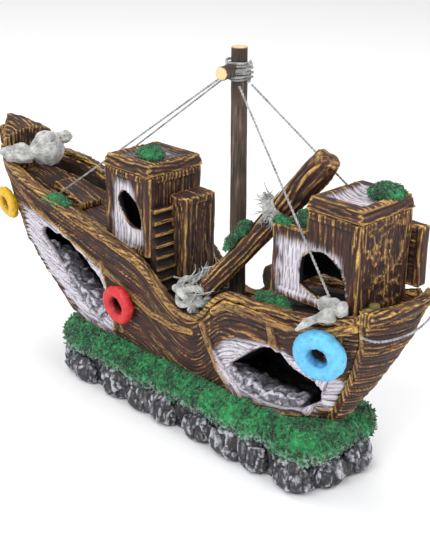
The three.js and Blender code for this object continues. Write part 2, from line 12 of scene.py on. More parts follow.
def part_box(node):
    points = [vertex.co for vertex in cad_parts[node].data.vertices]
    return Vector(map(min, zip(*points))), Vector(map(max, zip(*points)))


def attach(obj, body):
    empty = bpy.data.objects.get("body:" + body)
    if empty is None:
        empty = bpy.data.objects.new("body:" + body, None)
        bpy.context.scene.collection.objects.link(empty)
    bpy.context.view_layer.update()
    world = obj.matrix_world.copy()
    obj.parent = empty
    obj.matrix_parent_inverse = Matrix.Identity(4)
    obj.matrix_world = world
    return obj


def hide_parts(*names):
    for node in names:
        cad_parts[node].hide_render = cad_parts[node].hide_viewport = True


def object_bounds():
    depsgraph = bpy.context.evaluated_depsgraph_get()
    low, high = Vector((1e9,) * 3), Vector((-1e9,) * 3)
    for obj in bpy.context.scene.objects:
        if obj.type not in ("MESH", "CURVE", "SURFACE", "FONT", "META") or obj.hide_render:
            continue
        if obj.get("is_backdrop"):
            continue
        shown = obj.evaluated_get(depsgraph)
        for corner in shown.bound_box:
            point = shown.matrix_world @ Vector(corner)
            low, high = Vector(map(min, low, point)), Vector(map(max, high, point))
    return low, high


bl_info = {
    "name": "Sunken Ship Ornament",
    "version": (1, 0, 0),
    "blender": (4, 5, 0),
    "location": "View3D > Sidebar > Ornament",
    "description": "Builds the painted casting, moss, rigging and air unit around the packed frame",
    "category": "Object",
}

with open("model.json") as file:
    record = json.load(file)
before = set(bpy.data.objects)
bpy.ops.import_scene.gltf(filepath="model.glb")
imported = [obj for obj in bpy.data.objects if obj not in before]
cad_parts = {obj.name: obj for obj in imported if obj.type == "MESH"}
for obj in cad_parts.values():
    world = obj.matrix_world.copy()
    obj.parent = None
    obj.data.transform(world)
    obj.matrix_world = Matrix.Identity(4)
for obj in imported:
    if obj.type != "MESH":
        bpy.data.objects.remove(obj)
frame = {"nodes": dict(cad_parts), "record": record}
CAD_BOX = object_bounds()
MM = 0.001
SHIP = "ship"
AIR = "air_unit"


def linear(code):
    """One sRGB hex colour as linear red, green and blue."""
    values = [int(code[i:i + 2], 16) / 255 for i in (1, 3, 5)]
    return tuple(v / 12.92 if v <= 0.04045 else ((v + 0.055) / 1.055) ** 2.4 for v in values)


def colour(name, description, code):
    return bpy.props.FloatVectorProperty(
        name=name, description=description, subtype="COLOR", size=3, min=0, max=1, default=linear(code))


def length(name, description, millimetres):
    return bpy.props.FloatProperty(
        name=name, description=description, unit="LENGTH", precision=5, min=0, default=millimetres * MM)


class OrnamentSizes(bpy.types.PropertyGroup):
    voxel: length("Casting detail", "Grid that the casting is remeshed on", 0.58)
    grain: length("Grain spacing", "Distance between carved wood strands", 2.1)
    depth: length("Grain depth", "Depth of the carved strands", 1.2)
    board: length("Board width", "Width of a carved plank", 9.5)
    flock: length("Flock length", "Length of one strand of moss flock", 1.35)
    string: length("String", "Diameter of the twisted cotton rigging", 1.1)
    ply_turn: length("Twist", "Length of one turn of a ply in the rigging", 3.4)


class OrnamentColours(bpy.types.PropertyGroup):
    # The wash colour fills the grooves: a real wash, deepened there as painted shade.
    wash_and_shade: colour("Wash", "Dark wash left in the grooves", "#140a07")
    brown: colour("Brown", "Painted planking", "#642d20")
    gold: colour("Gold", "Dry-brushed ochre on edges and strands", "#e0b061")
    white: colour("White", "Bleached wood round the breaks", "#dcd6e0")
    charcoal: colour("Charcoal", "Painted rock", "#232327")
    silver: colour("Silver", "Dry-brushed rock edges", "#adadb5")
    moss_deep: colour("Deep moss", "Flock in the shade", "#06351b")
    moss_light: colour("Light moss", "Flock tips", "#2a9150")
    cotton: colour("Cotton", "Rope, cloth and string", "#c2c2bf")
    bark: colour("Bark", "Twig used as the mast", "#4a3c30")
    cut_wood: colour("Cut wood", "Sawn end of a twig", "#e4c794")
    yellow: colour("Yellow", "Painted life ring", "#e9b81c")
    red: colour("Red", "Painted life ring", "#d4262a")
    blue: colour("Blue", "Painted life ring", "#66c2ef")


# ---- fields over points, all in millimetres ----
def smoothstep(low, high, value):
    share = np.clip((value - low) / (high - low), 0, 1)
    return share * share * (3 - 2 * share)


def noise(points, seed=0):
    """Value noise from 0 to 1 with one cell a unit across."""
    cell = np.floor(points).astype(np.int64)
    share = points - cell
    share = share * share * (3 - 2 * share)
    total = np.zeros(len(points))
    for corner in range(8):
        step = np.array([corner & 1, corner >> 1 & 1, corner >> 2 & 1])
        key = (cell + step) @ np.array([374761393, 668265263, 2147483647]) + seed * 1274126177
        key = (key ^ (key >> 13)) * 1274126177
        key = (key ^ (key >> 16)) & 0xFFFF
        total += np.prod(np.where(step, share, 1 - share), axis=1) * key / 0xFFFF
    return total


def rough(points, size, seed=0):
    """Three layers of noise, about -1 to 1, whose largest lumps are size across."""
    total = 0
    for octave in range(3):
        total = total + (2 * noise(points / size * 2 ** octave, seed + octave) - 1) / 2 ** octave
    return total / 1.5


def cells(points, size, seed=0):
    """Distances to the nearest two of the points scattered one to a cell, and the nearest one, in cells."""
    spot = points / size
    home = np.floor(spot)
    first = np.full(len(spot), 9.0)
    second = np.full(len(spot), 9.0)
    nearest = spot.copy()
    for step in np.ndindex(3, 3, 3):
        cell = home + np.array(step) - 1
        centre = cell + np.stack([noise(cell, seed + k) for k in range(3)], axis=1)
        away = np.linalg.norm(spot - centre, axis=1)
        second = np.minimum(second, np.maximum(first, away))
        nearest = np.where((away < first)[:, None], centre, nearest)
        first = np.minimum(first, away)
    return first, second, nearest


def facets(points, size, seed):
    """Flat chips tilted at random, as a height in cells, and how near each point is to a crack."""
    first, second, nearest = cells(points, size, seed)
    tilt = np.stack([noise(nearest * 9.7, seed + k) - 0.5 for k in range(4)], axis=1)
    height = np.einsum("ij,ij->i", points / size - nearest, 2.2 * tilt[:, :3]) + 0.5 * tilt[:, 3]
    return height, smoothstep(0.16, 0.0, second - first)


def strands(s, t, seed, spacing):
    """Carved wood strands along s, from 0 in a groove to 1 on top, and the fine line on each crest."""
    wander = 4.2 * noise(np.stack([s / 21, t / 9, 0 * s], axis=1), seed)
    wander = wander + 1.1 * noise(np.stack([s / 6, t / 3, 0 * s + 5], axis=1), seed + 4)
    lane = (t + wander) / spacing
    flute = np.abs(np.sin(np.pi * lane)) ** 0.75
    lift = noise(np.stack([s / 20, np.floor(lane) * 3.7, 0 * s + 3], axis=1), seed + 1)
    fine = noise(np.stack([s / 10, lane * 3.1, 0 * s + 7], axis=1), seed + 2)
    crest = smoothstep(0.92, 0.995, np.abs(np.sin(np.pi * lane))) * smoothstep(0.4, 0.7, lift)
    return flute * (0.35 + 0.4 * lift) + 0.3 * fine, crest


def boards(s, t, width, seed):
    """1 in the gap beside each board, and a slightly different level for each board."""
    row = t / width + 0.12 * np.sin(s / 31 + seed)
    number = np.floor(row)
    inside = np.abs(row - number - 0.5) * 2
    gap = smoothstep(1 - 1.5 / width, 1, inside)
    level = noise(np.stack([number * 7.3, 0 * s, 0 * s], axis=1), seed) - 0.5
    return gap, level


def path_distance(x, z, points):
    """Distance from each (x, z) to a path, and how far along the path the nearest spot is."""
    best = np.full(len(x), 1e9)
    run = np.zeros(len(x))
    start = 0.0
    for (ax, az), (bx, bz) in zip(points[:-1], points[1:]):
        size = math.hypot(bx - ax, bz - az)
        share = np.clip(((x - ax) * (bx - ax) + (z - az) * (bz - az)) / size ** 2, 0, 1)
        away = np.hypot(x - ax - share * (bx - ax), z - az - share * (bz - az))
        run = np.where(away < best, start + share * size, run)
        best = np.minimum(best, away)
        start += size
    return best, run


def outline_depth(x, z, outline):
    """How far each (x, z) lies inside a closed outline, negative outside it."""
    ring = outline + outline[:1]
    inside = np.zeros(len(x), bool)
    for (ax, az), (bx, bz) in zip(ring[:-1], ring[1:]):
        if az != bz:
            crosses = (az > z) != (bz > z)
            inside ^= crosses & (x < (bx - ax) * (z - az) / (bz - az) + ax)
    away = path_distance(x, z, ring)[0]
    return np.where(inside, away, -away)


# ---- castings: a CAD node, finely meshed and carved ----
class Casting:
    """A finely meshed copy of one CAD node, held as arrays in millimetres while it is carved."""

    def __init__(self, node, voxel=None, soften=2, swell=0.12, body=SHIP):
        sizes = bpy.context.scene.ornament_sizes
        self.node = node
        self.body = body
        source = frame["nodes"][node]
        merged = bmesh.new()
        merged.from_mesh(source.data)
        bmesh.ops.remove_doubles(merged, verts=merged.verts, dist=2e-6)
        mesh = bpy.data.meshes.new(node + "_merged")
        merged.to_mesh(mesh)
        merged.free()
        holder = bpy.data.objects.new(node + "_grid", mesh)
        bpy.context.scene.collection.objects.link(holder)
        grid = holder.modifiers.new("grid", "REMESH")
        grid.mode = "VOXEL"
        grid.voxel_size = voxel * MM if voxel else sizes.voxel
        even = holder.evaluated_get(bpy.context.evaluated_depsgraph_get())
        self.mesh = bpy.data.meshes.new_from_object(even)
        bpy.data.objects.remove(holder)
        bpy.data.meshes.remove(mesh)
        self.mesh.materials.clear()
        count = len(self.mesh.vertices)
        flat = np.empty(count * 3)
        self.mesh.vertices.foreach_get("co", flat)
        self.spots = flat.reshape(-1, 3) / MM
        ends = np.empty(len(self.mesh.edges) * 2, np.int64)
        self.mesh.edges.foreach_get("vertices", ends)
        self.ends = ends.reshape(-1, 2)
        self.spots = self.relaxed(self.spots, soften)
        self.find_normals()
        self.spots = self.spots + self.normals * (swell + 0.06 * soften)
        self.rest = self.spots.copy()
        self.broad = self.normals.copy()
        self.masks = {}

    def relaxed(self, values, rounds):
        """The values after each point has moved towards its neighbours, that many times."""
        a, b = self.ends.T
        count = len(self.spots)
        shared = np.bincount(a, minlength=count) + np.bincount(b, minlength=count)
        shared = np.maximum(shared, 1)[:, None]
        out = values.astype(float).reshape(count, -1)
        for _ in range(rounds):
            total = np.stack([
                np.bincount(a, out[b, k], count) + np.bincount(b, out[a, k], count)
                for k in range(out.shape[1])], axis=1)
            out = 0.4 * out + 0.6 * total / shared
        return out if values.ndim > 1 else out[:, 0]

    def find_normals(self):
        self.mesh.vertices.foreach_set("co", (self.spots * MM).ravel())
        self.mesh.update()
        normals = np.empty(len(self.spots) * 3)
        self.mesh.vertex_normals.foreach_get("vector", normals)
        self.normals = normals.reshape(-1, 3)

    def push(self, height):
        """Moves every point along its normal by height."""
        self.spots = self.spots + self.broad * np.asarray(height)[:, None]

    def convexity(self, rounds):
        """How far each point stands out of its surroundings."""
        return np.einsum("ij,ij->i", self.spots - self.relaxed(self.spots, rounds), self.normals)

    def finish(self, material, grain=None):
        """Writes the carved points and masks, and puts the piece on its body."""
        self.find_normals()
        self.masks["ridge"] = smoothstep(0.06, 0.18, self.convexity(3))
        self.masks["edge"] = smoothstep(0.32, 0.48, self.convexity(14))
        self.masks["hollow"] = smoothstep(0.01, 0.2, -self.convexity(6))
        # Broad deep hollows, which the resin darkens as painted shade.
        self.masks["crevice_shade"] = smoothstep(0.25, 1.1, -self.convexity(30))
        for name, values in self.masks.items():
            layer = self.mesh.attributes.new(name, "FLOAT", "POINT")
            layer.data.foreach_set("value", np.asarray(values, np.float32))
        if grain is not None:
            layer = self.mesh.attributes.new("grain", "FLOAT_VECTOR", "POINT")
            layer.data.foreach_set("vector", grain.astype(np.float32).ravel())
        self.mesh.materials.append(material)
        self.mesh.polygons.foreach_set("use_smooth", np.ones(len(self.mesh.polygons), bool))
        piece = bpy.data.objects.new(self.node + "_finished", self.mesh)
        bpy.context.scene.collection.objects.link(piece)
        settle(piece, self.body, None, self.node)
        return piece


def box_of(node):
    """The low and high corners of a CAD node's box, in millimetres."""
    return tuple(np.array(corner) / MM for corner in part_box(node))


def settle(piece, body, slot, *nodes):
    """Puts a piece on its body in place of its CAD nodes, which it hides. It looks up the first node's slot
    when none is given, but does not use the slot.
    """
    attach(piece, body)
    if nodes:
        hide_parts(*nodes)
    if slot is None and nodes:
        slot = next(s["material_slot"] for s in frame["record"]["subparts"] if s["node"] == nodes[0])


def mesh_piece(name, points, faces, material):
    """A plain mesh object from points in millimetres."""
    mesh = bpy.data.meshes.new(name)
    mesh.from_pydata([tuple(v * MM for v in p) for p in points], [], faces)
    mesh.update()
    mesh.materials.append(material)
    mesh.polygons.foreach_set("use_smooth", np.ones(len(mesh.polygons), bool))
    piece = bpy.data.objects.new(name, mesh)
    bpy.context.scene.collection.objects.link(piece)
    return piece


# ---- materials ----
MATH, RANGE, MIX = "ShaderNodeMath", "ShaderNodeMapRange", "ShaderNodeMix"
NOISE, MAPPING, PLACE = "ShaderNodeTexNoise", "ShaderNodeMapping", "ShaderNodeTexCoord"
MASK, BUMP = "ShaderNodeAttribute", "ShaderNodeBump"
PAINT, SURFACE = "ShaderNodeBsdfPrincipled", "ShaderNodeOutputMaterial"
# Near black, painted where there is only shade.
SHADE_BLACK = (0.004, 0.004, 0.005)


def add(tree, kind, links=(), out=0, **settings):
    """Adds a node with its settings, sets or links its inputs by name or in order, and gives one output."""
    made = tree.nodes.new(kind)
    for key, value in settings.items():
        setattr(made, key, value)
    for key, value in links.items() if isinstance(links, dict) else enumerate(links):
        socket = made.inputs[key]
        if isinstance(value, bpy.types.NodeSocket):
            tree.links.new(value, socket)
        else:
            socket.default_value = (*value[:3], 1.0) if socket.type == "RGBA" else value
    return made.outputs[out] if made.outputs else None


def new_material(name):
    material = bpy.data.materials.new(name)
    material.use_nodes = True
    tree = material.node_tree
    tree.nodes.clear()
    return material, tree


def toned(tint, share, lift=0.0):
    """A colour made darker or lighter."""
    return tuple(min(1, share * c + lift) for c in tint)


def coated(tree, body, *coats):
    """Coats laid over a colour, of paint and of painted shade: where each lies, how strongly, and its colour.
    """
    for cover, strength, coat in coats:
        share = add(tree, MATH, (cover, strength), operation="MULTIPLY")
        body = add(tree, MIX, {0: share, 6: body, 7: coat}, out=2, data_type="RGBA")
    return body


def surfaced(tree, body, roughness, relief, relief_mm, strength=1.0, **weights):
    """Ends a material: colour, roughness, fine relief, and the weight of any sheen, coat or transmission."""
    links = {"Base Color": body, "Roughness": roughness}
    links["Normal"] = add(tree, BUMP, {"Height": relief, "Strength": strength, "Distance": relief_mm * MM})
    for key, weight in weights.items():
        links[key.capitalize() + " Weight"] = weight
    add(tree, SURFACE, {"Surface": add(tree, PAINT, links)})


def painted_resin():
    # Stone-filled casting resin, brushed brown over a dark wash, then dry-brushed: the eye sees dark grooves,
    # the wash there deepened with painted shade, ochre on every strand and edge that stands proud, and chalky
    # white round the breaks. Crevices and shaded places get painted shade, the darkest painted black.
    name = "painted_casting_resin"
    if name in bpy.data.materials:
        return bpy.data.materials[name]
    paint = bpy.context.scene.ornament_colours
    material, tree = new_material(name)
    ridge, edge, hollow, crest, gilt, white, crevice_shade, painted_shade, shade_black = (
        add(tree, MASK, out="Fac", attribute_name=key)
        for key in ("ridge", "edge", "hollow", "crest", "gilt", "white", "crevice_shade", "painted_shade", "shade_black"))
    grain = add(tree, MASK, out="Vector", attribute_name="grain")
    streaks = []
    for along_mm, across_mm, detail in ((13, 0.62, 3.0), (7, 0.4, 2.0), (8, 4.5, 4.0)):
        drawn = add(tree, MAPPING, {"Vector": grain, "Scale": (1 / along_mm, 1 / across_mm, 1.0)})
        streaks.append(add(tree, NOISE, {"Vector": drawn, "Scale": 1.0, "Detail": detail, "Roughness": 0.6}))
    strand, hair, patch = streaks
    speck = add(tree, NOISE, {"Vector": add(tree, PLACE, out="Object"), "Scale": 0.9 / MM, "Detail": 2.0})

    # Each place that catches the gilt, the hair lines it is broken into, and the patches it is kept to.
    gilding = 0.0
    for caught, lines, patches in (
            (ridge, (0.52, 0.58), (0.46, 0.6)), (crest, (0.38, 0.48), (0.4, 0.56)),
            (edge, (0.36, 0.47), (0.24, 0.42)), (gilt, (0.42, 0.56), None)):
        stroke = add(tree, MATH, (caught, add(tree, RANGE, (hair, *lines))), operation="MULTIPLY")
        if patches:
            stroke = add(tree, MATH, (stroke, add(tree, RANGE, (patch, *patches))), operation="MULTIPLY")
        gilding = add(tree, MATH, (gilding, stroke), operation="MAXIMUM", use_clamp=True)
    gold = coated(tree, toned(paint.gold, 0.5), (add(tree, RANGE, (speck, 0.3, 0.6)), 1.0, paint.gold))

    raised = add(tree, MATH, (ridge, 0.08, strand), operation="MULTIPLY_ADD")
    streak = add(tree, MATH, (add(tree, RANGE, (raised, 0.4, 0.53)), -1.0), operation="ADD")
    cover = add(tree, RANGE, (add(tree, MATH, (white, 1.5, streak), operation="MULTIPLY_ADD"), -0.1, 0.5))
    bleached = add(tree, MATH, (white, cover), operation="MULTIPLY", use_clamp=True)
    # The chalk is painted darker grey in its hollows, as shade.
    chalk = coated(
        tree, linear("#7c7680"), (add(tree, RANGE, (hair, 0.34, 0.47)), 1.0, paint.white),
        (hollow, 0.7, linear("#4a444c")))

    # Grooves: the real dark wash, deepened with painted shade.
    low_strand = add(tree, RANGE, (strand, 0.53, 0.42))
    groove = add(tree, MATH, (hollow, low_strand), operation="ADD", use_clamp=True)
    # Painted shade: near black over broad crevices and the marked shaded places, then painted black over the
    # darkest.
    shade = add(tree, MATH, (crevice_shade, painted_shade), operation="MAXIMUM")
    body = coated(
        tree, toned(paint.brown, 0.3), (add(tree, RANGE, (patch, 0.35, 0.65)), 1.0, toned(paint.brown, 0.8)),
        (groove, 0.92, paint.wash_and_shade), (gilding, 0.92, gold), (bleached, 1.0, chalk),
        (shade, 0.85, linear("#0a0605")), (shade_black, 1.0, SHADE_BLACK))
    relief = add(tree, MATH, (strand, hair), operation="ADD")
    relief = add(tree, MATH, (speck, 0.25, relief), operation="MULTIPLY_ADD")
    surfaced(tree, body, add(tree, RANGE, (patch, -0.9, 1.3)), relief, 0.5, strength=0.8)
    return material


def painted_rock(name, dark, light, streaky):
    # Resin cast from broken slate: dark paint with a pale coat dry-brushed along every ridge, painted near
    # black in the hollows and black in marked places, as shade.
    if name in bpy.data.materials:
        return bpy.data.materials[name]
    material, tree = new_material(name)
    ridge, edge, hollow, shade_black = (
        add(tree, MASK, out="Fac", attribute_name=key) for key in ("ridge", "edge", "hollow", "shade_black"))
    place = add(tree, PLACE, out="Object")
    tall = add(tree, MAPPING, {"Vector": place, "Scale": (1 / (1.6 * MM), 1 / (1.6 * MM), 1 / (6 * MM))})
    stroke = add(tree, NOISE, {"Vector": tall, "Scale": 1.0, "Detail": 4.0})
    speck, cloud = (
        add(tree, NOISE, {"Vector": place, "Scale": per_mm / MM, "Detail": 3.0}) for per_mm in (0.7, 0.14))
    wear = add(tree, MATH, (ridge, 0.5, edge), operation="MULTIPLY_ADD")
    wear = add(tree, MATH, (wear, add(tree, RANGE, (stroke, 0.34, 0.6))), operation="MULTIPLY")
    streak = add(tree, MATH, (
        add(tree, RANGE, (stroke, 0.5, 0.72)), add(tree, RANGE, (cloud, 0.4, 0.62))), operation="MULTIPLY")
    streak = add(tree, MATH, (streak, 0.45 * streaky), operation="MULTIPLY")
    wear = add(tree, MATH, (wear, streak), operation="MAXIMUM", use_clamp=True)
    # Painted shade: near black in the hollows, black where marked.
    body = coated(tree, dark, (hollow, 0.9, toned(dark, 0.15)), (wear, 1.0, light), (shade_black, 1.0, SHADE_BLACK))
    relief = add(tree, MATH, (stroke, speck), operation="ADD")
    surfaced(tree, body, add(tree, RANGE, (speck, -0.6, 1.5)), relief, 0.4)
    return material


def flock():
    # Chopped nylon flock glued on: matt, mottled from deep to bright green, greyed by dust along its foot.
    name = "nylon_flock_moss"
    if name in bpy.data.materials:
        return bpy.data.materials[name]
    paint = bpy.context.scene.ornament_colours
    material, tree = new_material(name)
    place = add(tree, PLACE, out="Object")
    clump, strand = (
        add(tree, NOISE, {"Vector": place, "Scale": per_mm / MM, "Detail": detail})
        for per_mm, detail in ((0.11, 3.0), (0.62, 2.0)))
    light = add(tree, RANGE, (add(tree, MATH, (clump, strand), operation="ADD"), 0.84, 1.26))
    dusty = add(tree, MATH, (
        add(tree, MASK, out="Fac", attribute_name="dusty"), add(tree, RANGE, (strand, 0.45, 0.6))),
        operation="MULTIPLY")
    body = coated(
        tree, paint.moss_deep, (light, 1.0, paint.moss_light),
        (add(tree, RANGE, (strand, 0.62, 0.74)), 0.55, toned(paint.moss_light, 1.5)),
        (dusty, 1.0, paint.silver))
    surfaced(tree, body, 0.92, strand, 0.4, sheen=0.25)
    return material


def cotton(name, tint):
    # Spun cotton and plaster-stiffened cloth: dull off-white, painted grey in the hollows as shade, with
    # fibres on top.
    if name in bpy.data.materials:
        return bpy.data.materials[name]
    material, tree = new_material(name)
    place = add(tree, PLACE, out="Object")
    fibre, cloud = (
        add(tree, NOISE, {"Vector": place, "Scale": per_mm / MM, "Detail": detail})
        for per_mm, detail in ((1.3, 3.0), (0.26, 2.0)))
    hollow = add(tree, MASK, out="Fac", attribute_name="hollow")
    # Painted shade: grey in the hollows.
    body = coated(
        tree, toned(tint, 0.42), (add(tree, RANGE, (cloud, 0.34, 0.66)), 1.0, tint),
        (hollow, 0.8, toned(tint, 0.16)), (add(tree, RANGE, (fibre, 0.5, 0.34)), 0.5, toned(tint, 0.3)))
    surfaced(tree, body, 0.95, fibre, 0.25, sheen=0.3)
    return material


def brushed_enamel(name, tint, shaded_tint):
    # Cast resin brushed with thick enamel: even colour and brush marks, with a painted glint on the bumps,
    # and painted shade, a darker copy of the colour, inside the ring and in the hollows.
    material, tree = new_material(name)
    ridge, inner, hollow = (
        add(tree, MASK, out="Fac", attribute_name=key) for key in ("ridge", "inner", "hollow"))
    place = add(tree, PLACE, out="Object")
    mottled, fine = (
        add(tree, NOISE, {"Vector": place, "Scale": per_mm / MM, "Detail": detail})
        for per_mm, detail in ((0.42, 4.0), (1.5, 2.0)))
    # A painted glint on the bumps.
    glint = add(tree, MATH, (ridge, add(tree, RANGE, (mottled, 0.45, 0.7))), operation="MULTIPLY")
    # Painted shade on the inner face of the ring, and darker still in the hollows.
    inside = add(tree, MATH, (inner, add(tree, RANGE, (mottled, 0.3, 0.6))), operation="MULTIPLY")
    body = coated(
        tree, toned(tint, 0.72), (add(tree, RANGE, (mottled, 0.3, 0.72)), 1.0, tint),
        (glint, 0.3, toned(tint, 1.5, 0.1)), (inside, 1.0, shaded_tint), (hollow, 0.7, toned(shaded_tint, 0.2)))
    relief = add(tree, MATH, (fine, 0.4, mottled), operation="MULTIPLY_ADD")
    surfaced(tree, body, add(tree, RANGE, (mottled, -0.7, 1.6)), relief, 0.35, coat=0.12)
    return material


def twig():
    # A dry hedge twig: grey-brown bark with long fine cracks, and a pale sawn end.
    paint = bpy.context.scene.ornament_colours
    material, tree = new_material("dry_twig_bark")
    place = add(tree, PLACE, out="Object")
    tall = add(tree, MAPPING, {"Vector": place, "Scale": (1 / (0.8 * MM), 1 / (0.8 * MM), 1 / (14 * MM))})
    bark = add(tree, NOISE, {"Vector": tall, "Scale": 1.0, "Detail": 4.0})
    stain = add(tree, NOISE, {"Vector": place, "Scale": 0.06 / MM, "Detail": 3.0})
    sawn = coated(
        tree, paint.cut_wood, (add(tree, RANGE, (stain, 0.3, 0.7)), 1.0, toned(paint.cut_wood, 0.7)))
    body = coated(
        tree, toned(paint.bark, 0.45), (add(tree, RANGE, (stain, 0.35, 0.65)), 1.0, paint.bark),
        (add(tree, RANGE, (bark, 0.55, 0.75)), 0.6, linear("#8d7a66")),
        (add(tree, RANGE, (bark, 0.45, 0.3)), 1.0, linear("#15100c")),
        (add(tree, MASK, out="Fac", attribute_name="sawn"), 1.0, sawn))
    surfaced(tree, body, 0.78, bark, 0.4)
    return material


def moulded(name, tint, roughness, relief_mm, transmission=0.0):
    # A moulded or sintered part of the air unit: one colour, faintly clouded, with a fine grit in the light.
    material, tree = new_material(name)
    place = add(tree, PLACE, out="Object")
    grit, cloud = (
        add(tree, NOISE, {"Vector": place, "Scale": per_mm / MM, "Detail": detail})
        for per_mm, detail in ((1.6, 3.0), (0.15, 2.0)))
    body = coated(
        tree, toned(tint, 0.75), (add(tree, RANGE, (cloud, 0.3, 0.7)), 1.0, tint),
        (add(tree, RANGE, (grit, 0.6, 0.8)), 1.0, toned(tint, 1.4, 0.02)))
    surfaced(tree, body, roughness, grit, relief_mm, transmission=transmission)
    return material


# ---- rigging ----
STAYS = {
    "stay_port_bow": ((2.2, -1.6, 162.6), (-104.5, -8, 86)),
    "stay_starboard_bow": ((2.2, 1.6, 162.6), (-103, 18, 92)),
    "stay_port_stern": ((13.8, -4.6, 160.2), (80, -21.6, 93)),
    "stay_starboard_stern": ((14.4, 2, 160.2), (60.9, 16.4, 121)),
}
STERN_ROPE = [
    (97.6, -23.4, 82), (102, -19, 80.4), (105, -12, 80.2), (106.6, -4, 80.6), (106.8, 4, 81.8),
    (105.6, 12, 83.6), (103, 19, 86), (101.6, 24, 88.4),
]


def spline(points, per_span):
    """A Catmull-Rom curve through the points."""
    spots = np.array(points, float)
    if len(spots) == 2:
        share = np.linspace(0, 1, per_span)[:, None]
        return spots[0] * (1 - share) + spots[1] * share
    padded = np.vstack([2 * spots[0] - spots[1], spots, 2 * spots[-1] - spots[-2]])
    out = []
    for a, b, c, d in zip(padded, padded[1:], padded[2:], padded[3:]):
        for share in np.arange(per_span) / per_span:
            out.append(0.5 * (2 * b + (c - a) * share + (2 * a - 5 * b + 4 * c - d) * share ** 2
                              + (3 * b - a - 3 * c + d) * share ** 3))
    return np.vstack([out, spots[-1]])


def along_path(path):
    """Steady side and up directions at each point of a path, and the distance run."""
    tangent = np.gradient(path, axis=0)
    tangent /= np.linalg.norm(tangent, axis=1)[:, None]
    side = np.cross(tangent[0], (0.3, 0.2, 0.93))
    sides = []
    for direction in tangent:
        side = side - direction * (side @ direction)
        side = side / np.linalg.norm(side)
        sides.append(side)
    sides = np.array(sides)
    run = np.concatenate([[0], np.cumsum(np.linalg.norm(np.diff(path, axis=0), axis=1))])
    return sides, np.cross(tangent, sides), run


def tube_faces(first, rings, around):
    faces = []
    for ring in range(rings - 1):
        for k in range(around):
            a = first + ring * around + k
            b = first + ring * around + (k + 1) % around
            faces.append((a, b, b + around, a + around))
    faces.append(tuple(first + k for k in reversed(range(around))))
    faces.append(tuple(first + (rings - 1) * around + k for k in range(around)))
    return faces


def tube(path, radius, around=6):
    """Points and faces of a closed tube whose radius may change along the path."""
    sides, ups, _ = along_path(path)
    radius = np.broadcast_to(np.asarray(radius, float), (len(path),))
    turn = 2 * np.pi * np.arange(around) / around
    rings = [
        p + r * (np.cos(turn)[:, None] * s + np.sin(turn)[:, None] * u)
        for p, r, s, u in zip(path, radius, sides, ups)]
    return np.vstack(rings), tube_faces(0, len(path), around)


def twisted(path, diameter, turn, plies=3, around=5, thick=0.27):
    """Points and faces of a string laid up from plies that wind round the path."""
    sides, ups, run = along_path(path)
    ply_radius = diameter * thick
    points, faces = [], []
    for ply in range(plies):
        angle = 2 * np.pi * (run / turn + ply / plies)
        reach = diameter / 2 - ply_radius
        line = path + reach * (np.cos(angle)[:, None] * sides + np.sin(angle)[:, None] * ups)
        ply_points, ply_faces = tube(line, ply_radius, around)
        start = sum(len(p) for p in points)
        points.append(ply_points)
        faces += [tuple(start + k for k in face) for face in ply_faces]
    return np.vstack(points), faces


def even_path(points, step):
    """The curve through the points, at an even step."""
    curve = spline(points, 40)
    run = np.concatenate([[0], np.cumsum(np.linalg.norm(np.diff(curve, axis=0), axis=1))])
    stops = np.linspace(0, run[-1], max(4, int(run[-1] / step)))
    return np.stack([np.interp(stops, run, curve[:, k]) for k in range(3)], axis=1)


class OrnamentRigging(bpy.types.Operator):
    """Lays up the four stays and the stern rope from twisted cotton, at their real length"""
    bl_idname = "ornament.rigging"
    bl_label = "Rigging"

    def execute(self, context):
        sizes = context.scene.ornament_sizes
        diameter = sizes.string / MM
        string = cotton("twisted_cotton_string", linear("#b4b4b6"))
        for name, ends in {**STAYS, "stern_rope": STERN_ROPE}.items():
            path = even_path(ends, 0.42)
            strand = twisted(path, diameter, sizes.ply_turn / MM, 2, 6, 0.25)
            piece = mesh_piece(name + "_string", *strand, string)
            settle(piece, SHIP, "rope", name)
            stops = [tuple(p * MM) for p in (*path[::4], path[-1])]
            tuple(stops[0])
        return {"FINISHED"}


# ---- hull ----
# Lines on the port side, as (x, z): the moulding under the bulwark, the ribs and the worn openings.
WALE = [
    (-150, 95), (-122, 89), (-106, 82), (-90, 76), (-76, 71), (-55, 64.5), (-38, 57), (-22, 51), (-8, 49.5),
    (4, 51),
]
RIBS = [
    [(-56, 66), (-55, 57), (-51, 45), (-46, 34)],
    [(11, 57), (14, 50), (18, 42), (24, 34), (31, 28.5)],
    [(50, 73), (52, 66), (54, 61)],
    [(87, 86), (84, 74), (78, 60), (72, 47), (64, 33)],
    [(18, 66), (26, 71.5), (40, 72.5), (60, 73), (80, 77), (92, 83)],
]
BOW_SURROUND = [
    (-119, 80), (-108, 80), (-88, 77), (-70, 70), (-55, 64.5), (-51, 50), (-50, 37), (-53, 28.5), (-77, 28.5),
    (-92, 37), (-106, 46), (-120, 60),
]
STERN_SURROUND = [
    (17, 47), (22, 53), (32, 59), (48, 62), (58, 62), (72, 60), (84, 53), (81, 45), (75, 37), (67, 32),
    (52, 28.5), (38, 28.5), (27, 29), (20, 38),
]
BOW_BREAK = [
    (-104, 68), (-102.5, 71.5), (-97, 73), (-92, 71), (-88, 72), (-80, 70), (-76, 66), (-72, 65), (-62, 58.5),
    (-55, 51), (-54, 45), (-58, 36), (-64, 34.5), (-72, 37), (-79, 42), (-88, 53), (-97, 62),
]
STERN_BREAK = [
    (24, 38), (26, 43), (31, 47), (39, 54), (45, 58), (51, 59.8), (57, 58), (61, 54.5), (66, 52), (71, 50),
    (73, 46), (70, 38.5), (62, 32.5), (53, 31.5), (44, 31), (32, 32),
]


# The inside of a hull wall is painted black, as shade, from this depth under its top edge.
WALL_DARK = 7.0  # how far below the top edge the inside of a wall turns black


